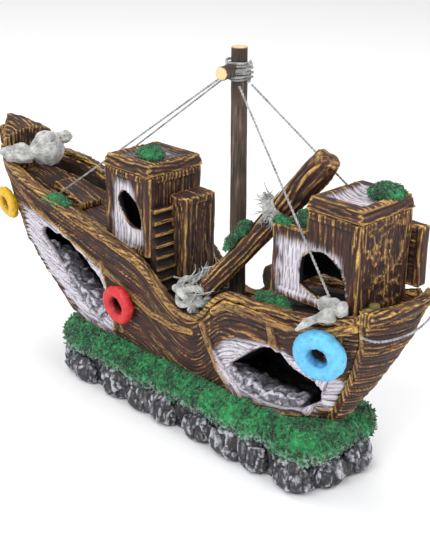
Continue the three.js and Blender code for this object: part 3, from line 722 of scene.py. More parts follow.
def sheer_of(casting):
    """The top edge of a hull side, as a height at each place along the ship."""
    x, z = casting.rest[:, 0], casting.rest[:, 2]
    stops = np.arange(x.min(), x.max(), 2.0)
    tops = [z[np.abs(x - stop) < 2.4].max() for stop in stops]
    return lambda at: np.interp(at, stops, np.convolve(np.pad(tops, 2, mode="edge"), np.ones(5) / 5, "valid"))


def grain_frame(s, t, level=0):
    """Where each point lies in the grain: along it, across it, and in which board."""
    return np.stack([s, t, np.broadcast_to(level, s.shape)], axis=1)


def raise_mouldings(x, z, s, t):
    """The wale and ribs, as how far each point is raised, with the grain turned to run along them."""
    raised = np.zeros(len(x))
    for line, half in ((WALE, 2.3), *((rib, 2.5) for rib in RIBS)):
        away, distance = path_distance(x, z, line)
        inside = away < half
        s = np.where(inside, distance, s)
        t = np.where(inside, away + 40, t)
        raised = np.maximum(raised, np.sqrt(np.clip(1 - (away / half) ** 2, 0, 1)))
    return raised, s, t


def wear_breaks(spots):
    """The worn surrounds and chipped rims of the breaks: a change of height, the white, and the rims."""
    x, z = spots[:, 0], spots[:, 2]
    height, white, rims = np.zeros((3, len(x)))
    for surround, hole, fade in ((BOW_SURROUND, BOW_BREAK, 2.0), (STERN_SURROUND, STERN_BREAK, 2.5)):
        inside = outline_depth(x, z, surround)
        white = np.maximum(white, smoothstep(-0.6, fade, inside + 0.8 * rough(spots, 5, 3)))
        height += 0.9 * np.exp(-((inside + 0.6) / 1.3) ** 2) - 0.55 * smoothstep(0.5, 2.5, inside)
        edge = outline_depth(x, z, hole)
        height -= 1.1 * smoothstep(-3.2, -0.6, edge) * (0.4 + 0.6 * rough(spots, 2.4, 8))
        rims = np.maximum(rims, smoothstep(-1.6, -0.6, edge))
    return height, white, rims


def carve_hull(node, side):
    """One side of the hull, planked outside and rough inside. The port side, -1, has the worn breaks."""
    casting = Casting(node)
    sizes = bpy.context.scene.ornament_sizes
    x, _, z = casting.rest.T
    outward = casting.normals[:, 1] * side
    outside = smoothstep(-0.15, 0.35, outward)
    inner = smoothstep(0.25, -0.25, outward)
    below = sheer_of(casting)(x) - z
    run = 1.12 * x
    raised, s, t = raise_mouldings(x, z, run, below)
    wood, casting.masks["crest"] = strands(s, t, 11 if side < 0 else 31, sizes.grain / MM)
    gap, level = boards(run, below, sizes.board / MM, 5)
    plain = 1 - smoothstep(0, 0.4, raised)
    height = sizes.depth / MM * (wood - 0.62) * (1 + 0.35 * (1 - plain)) + plain * (0.35 * level - 0.75 * gap)
    bulwark = (below < 3) | (z > np.interp(x, *np.array(WALE).T))
    height = height + raised + np.where(bulwark & (x < 16), 0.55, 0.0) * plain
    white, rims = np.zeros((2, len(x)))
    if side < 0:
        worn, white, rims = wear_breaks(casting.rest)
        height = height + worn
    casting.push(np.where(outward > -0.2, outside * height, 0.5 * rough(casting.rest, 5, 2)))
    casting.masks["gilt"] = 0.5 * smoothstep(0.35, 0.8, raised) * outside
    # Painted shade: darker down the inside of the wall and low on the hull.
    casting.masks["painted_shade"] = inner * smoothstep(1.5, 5, below) + 0.5 * smoothstep(34, 29, z)
    casting.masks["white"] = np.maximum(white * outside, 0.9 * rims * smoothstep(-0.8, -0.4, outward))
    # Painted black, as shade, deeper down the inside of the wall.
    casting.masks["shade_black"] = inner * (1 - rims) * smoothstep(WALL_DARK, WALL_DARK + 2, below)
    casting.finish(painted_resin(), grain_frame(s, t, 3.1 * level))


class OrnamentHull(bpy.types.Operator):
    """Carves planking, wales, ribs and worn breaks into the two hull sides"""
    bl_idname = "ornament.hull"
    bl_label = "Hull sides"

    def execute(self, context):
        carve_hull("hull_port", -1)
        carve_hull("hull_starboard", 1)
        return {"FINISHED"}


def carve_along(node, axis, seed, depth_share=1.0, white=None, voxel=None, board=None, post=0):
    """A piece whose grain runs along one axis of the ship, or along the nearest wall."""
    casting = Casting(node, voxel=voxel)
    sizes = bpy.context.scene.ornament_sizes
    spacing, depth = sizes.grain / MM, sizes.depth / MM * depth_share
    spots, normals = casting.rest, np.abs(casting.relaxed(casting.normals, 2))
    x, y, z = spots.T
    facing = np.argmax(normals, axis=1)
    if axis == "up":
        s = np.where(facing == 2, x, z)
        t = np.where(facing == 0, y, np.where(facing == 1, x, y))
    elif axis == "level":
        s = np.where(facing == 0, y, x)
        t = np.where(facing == 2, y, z)
    elif axis == "x":
        s, t = x, np.where(facing == 1, z, y)
    else:
        s, t = y, np.where(facing == 0, z, x)
    if post:
        low, high = box_of(node)
        edge = np.minimum(spots - low, high - spots)
        aside = np.where(facing == 0, edge[:, 1], edge[:, 0])
        upright = (facing != 2) & (aside < post)
        s, t = np.where(upright, z, s), np.where(upright, aside + 40, t)
    wood, casting.masks["crest"] = strands(s, t + 17 * facing, seed, spacing)
    height = depth * (wood - 0.62)
    level = 0.0 * x
    if board:
        gap, level = boards(s, t + 0.31 * seed, board, seed)
        height = height + 0.35 * level - 0.7 * gap
    if white:
        casting.masks["white"] = white(spots, casting.normals)
    waist = smoothstep(-34, -27, x) * smoothstep(34, 28, x)
    # Painted shade: darker low in the waist between the cabins.
    casting.masks["painted_shade"] = waist * smoothstep(80, 58, z + 4 * rough(spots, 9, seed))
    casting.push(height)
    casting.grain = grain_frame(s, t + 17 * facing, 2.7 * level)
    return casting


class OrnamentProw(bpy.types.Operator):
    """Carves the stem, beakhead, transom, taffrail and both rails"""
    bl_idname = "ornament.prow"
    bl_label = "Stem, stern and rails"

    def execute(self, context):
        resin = painted_resin()
        for node, axis, board in (
                ("stem_post", "up", None), ("beakhead", "up", 4.5), ("transom", "y", 7.5),
                ("taffrail", "y", None), ("rail_port", "x", None), ("rail_starboard", "x", None)):
            casting = carve_along(node, axis, len(node), depth_share=1.1, board=board, voxel=0.65)
            facing = smoothstep(0.2, 0.9, casting.normals[:, 2])
            casting.masks["gilt"] = 0.55 * facing * smoothstep(-0.2, 0.6, rough(casting.rest, 9, 3))
            # These pieces get less painted shade.
            casting.masks["painted_shade"] = casting.masks["painted_shade"] * 0.3
            casting.finish(resin, casting.grain)
        return {"FINISHED"}


class OrnamentDecks(bpy.types.Operator):
    """Carves the planks of the three decks, the hatch board and the floor of broken rock in the hold"""
    bl_idname = "ornament.decks"
    bl_label = "Decks"

    def execute(self, context):
        resin = painted_resin()
        for node in ("bow_deck", "quarter_deck", "waist_deck", "hatch_plank"):
            casting = carve_along(node, "x", 3 + len(node), board=5.5)
            if node == "quarter_deck":
                # Painted black shade on the deck under the aft cabin.
                x, aside = casting.rest[:, 0], np.abs(casting.rest[:, 1])
                under_cabin = smoothstep(45, 48, x) * smoothstep(90, 87, x) * smoothstep(15, 11, aside)
                casting.masks["shade_black"] = under_cabin
            casting.finish(resin, casting.grain)
        floor = Casting("hull_floor", voxel=0.8)
        chip, crack = facets(floor.rest, 4.2, 4)
        floor.push(1.9 * chip - 0.4 * crack + 0.6 * rough(floor.rest, 2.2, 6))
        floor.spots[:, 1] -= 2.6 * smoothstep(-5, -11, floor.rest[:, 1])
        # Painted black shade deep in the hold, away from the port breaks.
        floor.masks["shade_black"] = smoothstep(-10, -4, floor.rest[:, 1] + 1.5 * rough(floor.rest, 5, 3))
        floor.finish(painted_rock("cast_cave_rock", linear("#6f6c76"), linear("#c4c1cb"), 0.8))
        return {"FINISHED"}


# ---- cabins ----
FORE_PANEL = [(-54.5, 112), (-47, 113), (-40, 111), (-30, 84), (-31, 80), (-38, 77), (-54, 76)]
AFT_PANEL = [(47, 83), (47, 109), (56, 110.5), (70, 112), (80, 107), (85, 96), (86, 84)]
PANEL_TOP = 108
TREADS = 9


def worn_port_wall(panel):
    """White wear inside an outline on the port wall, fading out under its top."""
    def white(spots, normals):
        inside = outline_depth(spots[:, 0], spots[:, 2], panel) + 1.5 * rough(spots, 5, 9)
        under = smoothstep(PANEL_TOP + 4, PANEL_TOP - 4, spots[:, 2])
        return smoothstep(-1, 4, inside) * smoothstep(0.2, 0.6, -normals[:, 1]) * under
    return white


def worn_roof(low, high):
    """White wear over the sunk middle of a roof."""
    centre, half = (low + high) / 2, (high - low) / 2

    def white(spots, normals):
        inside = 1 - np.max(np.abs((spots - centre) / half)[:, :2], axis=1) + 0.08 * rough(spots, 4, 2)
        return smoothstep(0.3, 0.48, inside) * smoothstep(0.4, 0.7, normals[:, 2])
    return white


def framed_walls(casting, margin):
    """Where the panels lie on the walls of a block, inside a raised frame of that margin."""
    low, high = box_of(casting.node)
    spots, normals = casting.rest, np.abs(casting.broad)
    edge = np.minimum(spots - low, high - spots)
    upright = 1 - smoothstep(0.5, 0.8, normals[:, 2])
    facing_x = smoothstep(0.5, 0.8, normals[:, 0])
    side = np.where(facing_x > 0.5, edge[:, 1], edge[:, 0])
    return upright * smoothstep(margin, margin + 1.2, side) * smoothstep(
        margin * 0.8, margin * 0.8 + 1.2, edge[:, 2])


def blacken_inside(casting):
    """Painted black shade, and no white, on the walls that face into a cabin."""
    centre = (casting.rest.min(0) + casting.rest.max(0)) / 2
    inward = np.einsum("ij,ij->i", casting.broad[:, :2], casting.rest[:, :2] - centre[:2]) < 0
    # Inward walls painted black, as shade.
    casting.masks["shade_black"] = np.where(inward, 1.0, 0.0)
    casting.masks["white"] = casting.masks["white"] * ~inward


def pit_stern_wall(casting, panel):
    """Lumpy plaster on the aft cabin's stern wall, with gilt worms where the lumps turn."""
    worn = rough(casting.rest, 4.2, 21)
    stern = smoothstep(0.5, 0.8, casting.broad[:, 0]) * panel
    casting.push(0.9 * stern * worn)
    casting.masks["crest"] = casting.masks["crest"] * (1 - stern)
    casting.masks["gilt"] = stern * smoothstep(0.14, 0.05, np.abs(worn - 0.12))


def carve_block(node, axis, white=None):
    """A cabin, deck block or locker, its walls set back inside their frames."""
    casting = carve_along(node, axis, 2 * len(node), white=white, post=3.6)
    panel = framed_walls(casting, 3.4 if "cabin" in node else 2.2)
    casting.push(-0.9 * panel)
    if node.endswith("cabin"):
        blacken_inside(casting)
    if node == "aft_cabin":
        pit_stern_wall(casting, panel)
    casting.finish(painted_resin(), casting.grain)


def carve_roof(node, seed, wear):
    """A roof with a raised rim, worn white in the middle."""
    casting = carve_along(node, "level", seed, white=worn_roof(*box_of(node)), voxel=0.65)
    casting.push(-0.8 * casting.masks["white"])
    casting.masks["white"] = wear * casting.masks["white"]
    casting.finish(painted_resin(), casting.grain)


def carve_stairs():
    """The flight of stairs, gilt on the nose of each tread and painted shade under it."""
    stairs = carve_along("stairs", "y", 6, depth_share=0.4, voxel=0.42)
    low, high = box_of("stairs")
    tread = ((stairs.rest[:, 2] - low[2]) * TREADS / (high[2] - low[2])) % 1.0
    front = smoothstep(0.2, 0.7, stairs.broad[:, 0])
    stairs.masks["gilt"] = front * smoothstep(0.62, 0.74, tread)
    # Painted shade under each tread nose.
    stairs.masks["painted_shade"] = np.maximum(stairs.masks["painted_shade"], smoothstep(0.66, 0.5, tread))
    stairs.finish(painted_resin(), stairs.grain)


class OrnamentCabins(bpy.types.Operator):
    """Carves both deck cabins, their roofs, the deck block, the stairs and the locker"""
    bl_idname = "ornament.cabins"
    bl_label = "Cabins"

    def execute(self, context):
        carve_block("fore_cabin", "up", worn_port_wall(FORE_PANEL))
        carve_block("aft_cabin", "up", worn_port_wall(AFT_PANEL))
        carve_block("fore_cabin_block", "up")
        carve_block("side_locker", "level")
        carve_roof("fore_cabin_roof", 4, 0.35)
        carve_roof("aft_cabin_roof", 9, 0.8)
        carve_stairs()
        return {"FINISHED"}


# ---- rock foot and moss ----
class OrnamentRockFoot(bpy.types.Operator):
    """Breaks the boulders of the foot into slaty facets with worn silver ridges"""
    bl_idname = "ornament.rock_foot"
    bl_label = "Rock foot"

    def execute(self, context):
        paint = context.scene.ornament_colours
        rock = Casting("rock_base", voxel=0.75, soften=1, swell=0.0)
        tall = rock.rest * np.array([1.0, 1.0, 0.62])
        broad, crack = facets(tall, 6.2, 11)
        small, chink = facets(tall, 2.4, 17)
        height = 3.0 * broad - 0.5 * crack + 0.5 * small - 0.1 * chink + 0.1 * rough(tall, 1.6, 5)
        side = smoothstep(-0.75, -0.35, rock.normals[:, 2])
        rock.push(side * height * smoothstep(0.0, 1.5, rock.rest[:, 2]))
        rock.spots[:, 2] = np.maximum(rock.spots[:, 2], 0.0)
        rock.finish(painted_rock("cast_slate", paint.charcoal, paint.silver, 1.0))
        return {"FINISHED"}


def flock_tree():
    """Geometry Nodes: short bent strands scattered over a mound, standing out of it at random."""
    tree = bpy.data.node_groups.new("flock_strands", "GeometryNodeTree")
    tree.interface.new_socket("Geometry", in_out="INPUT", socket_type="NodeSocketGeometry")
    for name, kind in (("Strand", "NodeSocketObject"), ("Material", "NodeSocketMaterial"),
                       ("Density", "NodeSocketFloat"), ("Seed", "NodeSocketInt"), ("Lean", "NodeSocketFloat"),
                       ("Scale", "NodeSocketFloat")):
        tree.interface.new_socket(name, in_out="INPUT", socket_type=kind)
    tree.interface.new_socket("Geometry", in_out="OUTPUT", socket_type="NodeSocketGeometry")
    entry = tree.nodes.new("NodeGroupInput").outputs
    points = add(tree, "GeometryNodeDistributePointsOnFaces", {
        "Mesh": entry["Geometry"], "Density": entry["Density"], "Seed": entry["Seed"]})
    lean = add(tree, MATH, (entry["Lean"], -1.0), operation="MULTIPLY")
    low = add(tree, "ShaderNodeCombineXYZ", (lean, lean, -math.pi))
    high = add(tree, "ShaderNodeCombineXYZ", (entry["Lean"], entry["Lean"], math.pi))
    turn = add(tree, "FunctionNodeRandomValue", {"Min": low, "Max": high, "Seed": entry["Seed"]},
               data_type="FLOAT_VECTOR")
    strand = add(tree, "GeometryNodeObjectInfo", {"Object": entry["Strand"]}, out="Geometry")
    smallest = add(tree, MATH, (entry["Scale"], 0.6), operation="MULTIPLY")
    size = add(tree, "FunctionNodeRandomValue", {2: smallest, 3: entry["Scale"], "Seed": entry["Seed"]},
               out=1, data_type="FLOAT")
    stand = add(tree, "GeometryNodeInstanceOnPoints", {
        "Points": points, "Instance": strand, "Rotation": points.node.outputs["Rotation"], "Scale": size})
    bend = add(tree, "FunctionNodeEulerToRotation", {"Euler": turn})
    spun = add(tree, "GeometryNodeRotateInstances", {"Instances": stand, "Rotation": bend})
    real = add(tree, "GeometryNodeRealizeInstances", {"Geometry": spun})
    both = add(tree, "GeometryNodeJoinGeometry", {"Geometry": real})
    tree.links.new(entry["Geometry"], both.node.inputs["Geometry"])
    coat = add(tree, "GeometryNodeSetMaterial", {"Geometry": both, "Material": entry["Material"]})
    add(tree, "NodeGroupOutput", {"Geometry": coat})
    return tree


def strand_object(size):
    """One bent strand of flock, a three-sided taper."""
    path = np.array([(0, 0, -0.15), (0.2, 0.05, 0.55), (0.72, 0.16, 0.72)]) * size
    return mesh_piece("flock_strand", *tube(path, np.array([0.27, 0.26, 0.15]) * size, 3), None)


def add_flock(piece, material, density, seed, scale=1.0, lean=0.9):
    """Grows flock on a mound, and turns the result into a plain mesh."""
    size = bpy.context.scene.ornament_sizes.flock / MM
    strand = strand_object(size)
    tree = bpy.data.node_groups.get("flock_strands") or flock_tree()
    modifier = piece.modifiers.new("flock", "NODES")
    modifier.node_group = tree
    values = {"Strand": strand, "Material": material, "Density": density / MM ** 2, "Seed": seed,
              "Lean": lean, "Scale": scale}
    for socket in tree.interface.items_tree:
        if socket.item_type == "SOCKET" and socket.in_out == "INPUT" and socket.name in values:
            modifier[socket.identifier] = values[socket.name]
    piece.update_tag()
    grown = bpy.data.meshes.new_from_object(piece.evaluated_get(bpy.context.evaluated_depsgraph_get()))
    piece.modifiers.clear()
    piece.data = grown
    bpy.data.objects.remove(strand)
    return piece


class OrnamentMoss(bpy.types.Operator):
    """Flocks the bank round the hull and every moss pad"""
    bl_idname = "ornament.moss"
    bl_label = "Moss"

    def execute(self, context):
        green = flock()
        for seed, node in enumerate((
                "moss_bank", "moss_fore_roof", "moss_aft_roof", "moss_annex", "moss_log", "moss_rail")):
            bank = node == "moss_bank"
            mound = Casting(node, voxel=1.05 if bank else 0.7, soften=3, swell=0.2)
            mound.push(0.9 * rough(mound.rest, 7, seed) + 1.1 * rough(mound.rest, 2.6, seed + 9))
            if node == "moss_log":
                along = (mound.rest - mound.rest.mean(0)) @ LOG_AXIS
                mound.spots = mound.spots + (0.45 * along - 2.4)[:, None] * LOG_AXIS + (1.6, -1.2, 0)
            z = mound.rest[:, 2]
            low = z.min()
            if bank:
                ragged = 1.2 + 2.6 * rough(mound.rest * np.array([1.0, 1.0, 0.1]), 8, 19)
                mound.spots[:, 2] -= np.clip(ragged, 0, 4) * smoothstep(low + 6, low, z) * smoothstep(
                    0.0, 0.5, np.hypot(mound.broad[:, 0], mound.broad[:, 1]))
            dust = smoothstep(low + 5, low, z + 1.6 * rough(mound.rest, 4, 13)) if bank else 0 * z
            mound.masks["dusty"] = 0.7 * dust
            piece = mound.finish(green)
            add_flock(piece, green, 0.45 if bank else 2.2, seed + 3, 1.25 if bank else 0.85, lean=1.2)
        return {"FINISHED"}


# ---- masts and ropes ----
LOG_FOOT = np.array([0.2, -14.5, 62.2])
LOG_HEAD = np.array([55, 5.6, 137.0])
LOG_AXIS = (LOG_HEAD - LOG_FOOT) / np.linalg.norm(LOG_HEAD - LOG_FOOT)
LOG_UP = np.array([-LOG_AXIS[2], 0, LOG_AXIS[0]]) / math.hypot(LOG_AXIS[0], LOG_AXIS[2])
LOG_SIDE = np.cross(LOG_AXIS, LOG_UP)
MAST_TOP = np.array([9, 0, 175.3])
MAST_LEAN = 0.028


def around_axis(spots, start, axis, up, side):
    """Distance along an axis, and angle round it."""
    away = spots - start
    return away @ axis, np.arctan2(away @ up, away @ side)


def coil(start, axis, up, side, radius, first, last, turns, wobble=0.0):
    """A winding round an axis, from first to last along it."""
    share = np.linspace(0, 1, int(turns * 26))
    angle = 2 * np.pi * turns * share
    reach = radius + wobble * np.sin(5.3 * angle)
    along = first + (last - first) * share + 1.2 * wobble * np.sin(2.1 * angle)
    return (start + along[:, None] * axis
            + reach[:, None] * (np.cos(angle)[:, None] * side + np.sin(angle)[:, None] * up))


def joined(parts):
    """Several sets of points and faces as one."""
    points, faces, start = [], [], 0
    for spots, these in parts:
        points.append(spots)
        faces += [tuple(start + k for k in face) for face in these]
        start += len(spots)
    return np.vstack(points), faces


def frayed(root, direction, spread, count, size, seed, radius=0.28, scatter=1.1):
    """Loose cotton fibres that splay out of a rope's end."""
    random = np.random.default_rng(seed)
    parts = []
    for _ in range(count):
        aim = direction + spread * random.normal(size=3)
        aim /= np.linalg.norm(aim)
        start = root + scatter * random.normal(size=3)
        reach = size * random.uniform(0.5, 1)
        bend = random.normal(size=3) * 0.16 * reach
        path = np.array([start, start + 0.5 * reach * aim + bend, start + reach * aim])
        parts.append(tube(spline(path, 4), np.linspace(radius, 0.3 * radius, 9), 4))
    return parts


def bark_stick(node, bark):
    """A twig with fine cracks along it, and its sawn end marked."""
    stick = Casting(node, voxel=0.5, soften=2, swell=0.1)
    x, y, z = stick.rest.T
    tall = np.stack([x / 1.3, y / 1.3, z / 16], axis=1)
    stick.push(0.3 * (noise(tall, 5) - 0.6) + 0.14 * rough(stick.rest, 9, 3))
    if node == "mast":
        stick.masks["sawn"] = smoothstep(0.5, 0.8, stick.broad[:, 2]) * smoothstep(173, 174.4, z)
    else:
        stick.masks["sawn"] = smoothstep(0.45, 0.75, -stick.broad[:, 1])
    stick.finish(bark)


def lash_masts(string):
    """Two windings round the mast, and two crossed turns that hold the yard to it."""
    up, side = np.array([0, 1.0, 0]), np.array([1.0, 0, 0])
    axis = np.array([-math.sin(MAST_LEAN), 0, math.cos(MAST_LEAN)])
    start = MAST_TOP - 14.5 * axis
    parts = [
        twisted(coil(start, axis, up, side, 4.35, 0.4, 8.2, 6, 0.12), 1.35, 3.2),
        twisted(coil(start, axis, up, side, 5.25, 7.4, 1.6, 3.5, 0.35), 1.3, 3.2)]
    for low, high in ((1.6, 8.6), (8.6, 1.6)):
        foot, middle, head = (start + reach * axis for reach in (low, (high + low) / 2, high))
        cross = [head + (3.2, 3.4, 0), middle + (4.8, -2.2, 0), middle + (0.8, -6.2, 0),
                 foot + (-4.6, -2.8, 0), foot + (-4.4, 2.6, 0)]
        parts.append(twisted(even_path(cross, 0.5), 1.3, 3.2))
    settle(mesh_piece("mast_lashing_cord", *joined(parts), string), SHIP, None, "mast_lashing")


def flute_log():
    """The fallen mast: fluted all round, with a gilded, broken head."""
    log = Casting("mast_log", voxel=0.6, soften=1, swell=0.1)
    along, angle = around_axis(log.rest, LOG_FOOT, LOG_AXIS, LOG_UP, LOG_SIDE)
    t = angle * 5.5
    wood, log.masks["crest"] = strands(along, t, 8, 2.6)
    head = smoothstep(88, 94, along)
    wood = wood * (1 - head) + head * (0.5 + 0.5 * rough(log.rest, 3, 7))
    log.push(1.7 * (wood - 0.6))
    log.masks["gilt"] = 0.85 * head * smoothstep(-0.1, 0.4, rough(log.rest, 2.2, 12))
    log.finish(painted_resin(), grain_frame(along, t))


class OrnamentMasts(bpy.types.Operator):
    """Barks the twig mast and its yard, winds their lashing, and flutes the fallen mast"""
    bl_idname = "ornament.masts"
    bl_label = "Masts"

    def execute(self, context):
        bark = twig()
        bark_stick("mast", bark)
        bark_stick("yard", bark)
        lash_masts(cotton("lashing_cord", linear("#b4b4b2")))
        flute_log()
        return {"FINISHED"}


def fluff_lump(node, seed, wool):
    """A lump of rope or cloth, curled all over, with pleats in the cloth."""
    lump = Casting(node, voxel=0.55, soften=2)
    flat = lump.rest * np.array([1.0, 1.0, 3.0])
    curls = 1.1 * rough(lump.rest, 4.6, seed + 3) + 0.5 * rough(flat, 2.6, seed)
    if node == "stern_cloth":
        pleat = np.sin(lump.rest[:, 0] * 1.4 + 1.6 * rough(lump.rest, 9, 5))
        curls = curls * 0.6 + 0.35 * pleat
    lump.push(curls)
    lump.finish(wool)


def tie_knot(wool):
    """The knot at the fallen mast's foot: a heart, loops of rope over it, and frayed ends."""
    knot = Casting("log_knot", voxel=0.6)
    knot.push(0.6 * rough(knot.rest, 2.5, 4) - 1.9)
    knot.finish(wool).name = "log_knot_heart"
    parts = []
    centre = np.array([-0.8, -15.8, 66.2])
    swing = np.linspace(0, 2 * np.pi, 44)
    for lift, reach in ((-2.6, 5.2), (0.4, 6.4), (3.2, 5.0)):
        path = centre + np.stack([
            reach * 1.4 * np.cos(swing + lift), reach * 0.85 * np.sin(swing + lift),
            lift + 1.9 * np.sin(2 * swing + lift)], axis=1)
        parts.append(twisted(path, 3.4, 9.0, 4, 6))
    loop = np.linspace(0, 2 * np.pi, 40)
    for turn, tilt in ((0.0, 0.4), (2.2, -0.5), (4.3, 0.9)):
        ring_up = math.cos(tilt) * LOG_UP + math.sin(tilt) * LOG_AXIS
        reach = (5 + 0.8 * np.sin(3 * loop + turn))[:, None]
        path = LOG_FOOT + 1.2 * LOG_AXIS + reach * (
            np.cos(loop)[:, None] * LOG_SIDE + np.sin(loop)[:, None] * ring_up)
        parts.append(twisted(path, 3.0, 6.5, 3, 6))
    parts += frayed(LOG_FOOT + 5 * LOG_AXIS + 3 * LOG_UP, LOG_AXIS, 0.25, 90, 12, 3, 0.5, 3.6)
    aside = LOG_AXIS - 0.6 * LOG_SIDE
    parts += frayed(LOG_FOOT + 3 * LOG_AXIS - 3 * LOG_SIDE, aside, 0.35, 30, 9, 5, 0.42)
    settle(mesh_piece("log_knot_loops", *joined(parts), wool), SHIP, "rope")


def hang_cloth_tail(wool):
    """The rag's tail, which hangs over the port quarter and thins to a point."""
    hang = spline([(85, -24.2, 87.6), (80, -26.6, 85.4), (75, -28, 82), (70.5, -28.4, 77.6)], 8)
    share = np.linspace(0, 1, len(hang))
    fold = 2.5 * (1 - 0.75 * share) * (1 + 0.22 * np.sin(11 * share)) + 0.25
    settle(mesh_piece("stern_cloth_tail", *tube(hang, fold, 14), wool), SHIP, "rope")


def wind_log(wool):
    """The rope wound near the fallen mast's head, with its frayed ends."""
    wrap = Casting("log_wrap", voxel=0.5)
    wrap.push(0.45 * rough(wrap.rest, 2.0, 6))
    wrap.finish(wool)
    low, high = box_of("log_wrap")
    along = float(((low + high) / 2 - LOG_FOOT) @ LOG_AXIS)
    middle = LOG_FOOT + along * LOG_AXIS
    winding = coil(LOG_FOOT, LOG_AXIS, LOG_UP, LOG_SIDE, 6.5, along - 2.6, along + 2.9, 4, 0.25)
    parts = [twisted(winding, 1.9, 4)]
    above = LOG_UP * 0.7 - LOG_AXIS * 0.4
    parts += frayed(middle + 6.2 * LOG_UP - 1.5 * LOG_SIDE, above, 0.5, 46, 7, 8, 0.5)
    parts += frayed(middle + 6 * LOG_SIDE, -LOG_AXIS, 0.4, 30, 8, 9, 0.4)
    settle(mesh_piece("log_wrap_turns", *joined(parts), wool), SHIP, "rope")


class OrnamentRopes(bpy.types.Operator):
    """Fluffs the rope and cloth lumps, and adds the knotted, wound and frayed rope on the fallen mast"""
    bl_idname = "ornament.ropes"
    bl_label = "Rope and cloth"

    def execute(self, context):
        wool = cotton("plastered_cotton", context.scene.ornament_colours.cotton)
        fluff_lump("bow_rope", 0, wool)
        fluff_lump("stern_cloth", 1, wool)
        tie_knot(wool)
        hang_cloth_tail(wool)
        wind_log(wool)
        return {"FINISHED"}


class OrnamentLifeRings(bpy.types.Operator):
    """Roughs and paints the three life rings"""
    bl_idname = "ornament.life_rings"
    bl_label = "Life rings"

    def execute(self, context):
        paint = context.scene.ornament_colours
        # Each ring's second colour is a darker copy, painted as shade on the inner face and in the hollows.
        for name, tint, shaded_tint in (("yellow", paint.yellow, "#8a5a10"), ("red", paint.red, "#5c0c10"),
                                 ("blue", paint.blue, "#1d5c94")):
            node = "life_ring_" + name
            ring = Casting(node, voxel=0.6, soften=2, swell=0.15)
            ring.push(0.5 * rough(ring.rest, 4.5, 2) + 0.32 * rough(ring.rest, 1.6, 5))
            centre = (ring.rest.min(0) + ring.rest.max(0)) / 2
            inward = np.einsum("ij,ij->i", ring.broad, centre - ring.rest)
            ring.masks["inner"] = smoothstep(0.5, 4.5, inward)
            ring.finish(brushed_enamel("enamel_" + name, tint, linear(shaded_tint)))
        return {"FINISHED"}


# ---- air unit ----
def turned(profile, centre, around=48):
    """A body turned about a line across the ship, from (radius, y) points that close on themselves."""
    turn = 2 * np.pi * np.arange(around) / around
    rings = [np.stack([centre[0] + r * np.cos(turn), 0 * turn + y, centre[1] + r * np.sin(turn)], axis=1)
             for r, y in profile]
    faces = []
    for row in range(len(profile)):
        here, after = row * around, (row + 1) % len(profile) * around
        for k in range(around):
            beside = (k + 1) % around
            faces.append((here + k, here + beside, after + beside, after + k))
    return np.vstack(rings), faces


def outward(piece):
    """Turns the faces of a closed piece outwards."""
    shape = bmesh.new()
    shape.from_mesh(piece.data)
    bmesh.ops.recalc_face_normals(shape, faces=shape.faces)
    shape.to_mesh(piece.data)
    shape.free()
    return piece


class OrnamentAirUnit(bpy.types.Operator):
    """Turns the rubber bung and barbed inlet, and grits the air stone"""
    bl_idname = "ornament.air_unit"
    bl_label = "Air unit"

    def execute(self, context):
        low, high = box_of("air_bung")
        centre = ((low[0] + high[0]) / 2, (low[2] + high[2]) / 2)
        flange = (high[0] - low[0]) / 2
        rubber = moulded("moulded_nitrile_rubber", linear("#26262a"), 0.62, 0.03)
        profile = [(1.8, low[1]), (5.6, low[1]), (6.0, low[1] + 0.5), (6.1, 22.3), (flange - 0.3, 22.3),
                   (flange, 22.6), (flange, high[1] - 0.5), (flange - 0.5, high[1]), (2.4, high[1]),
                   (1.8, high[1] - 0.4)]
        bung = outward(mesh_piece("air_bung_turned", *turned(profile, centre), rubber))
        settle(bung, AIR, None, "air_bung")
        clear = moulded("clear_moulded_styrene", linear("#d8dde0"), 0.12, 0.004, 0.55)
        profile = [(0.8, 12), (1.5, 12), (1.5, 26.3), (2.25, 26.9), (2.3, 27.1), (1.65, 29.4), (2.25, 29.9),
                   (2.3, 30.1), (1.5, 32.5), (1.4, 32.6), (0.8, 32.6)]
        inlet = outward(mesh_piece("air_inlet_turned", *turned(profile, centre, 32), clear))
        settle(inlet, AIR, None, "air_inlet")
        stone = Casting("air_stone", voxel=0.4, soften=2, body=AIR)
        stone.push(0.12 * rough(stone.rest, 0.9, 4) - 0.05)
        stone.finish(moulded("sintered_mineral_grit", linear("#2b2e33"), 0.95, 0.12))
        return {"FINISHED"}


# ---- loose trim ----
def pebble(name, centre, size, seed, material):
    """A worn stone or lump set on the casting."""
    ball = bmesh.new()
    bmesh.ops.create_icosphere(ball, subdivisions=3, radius=1)
    points = np.array([v.co for v in ball.verts])
    faces = [tuple(v.index for v in face.verts) for face in ball.faces]
    ball.free()
    swell = 1 + 0.2 * rough(points * 3, 2.2, seed) + 0.08 * rough(points * 3, 0.8, seed + 2)
    spots = np.array(centre) + points * swell[:, None] * np.array(size) / 2
    return mesh_piece(name, spots, faces, material)


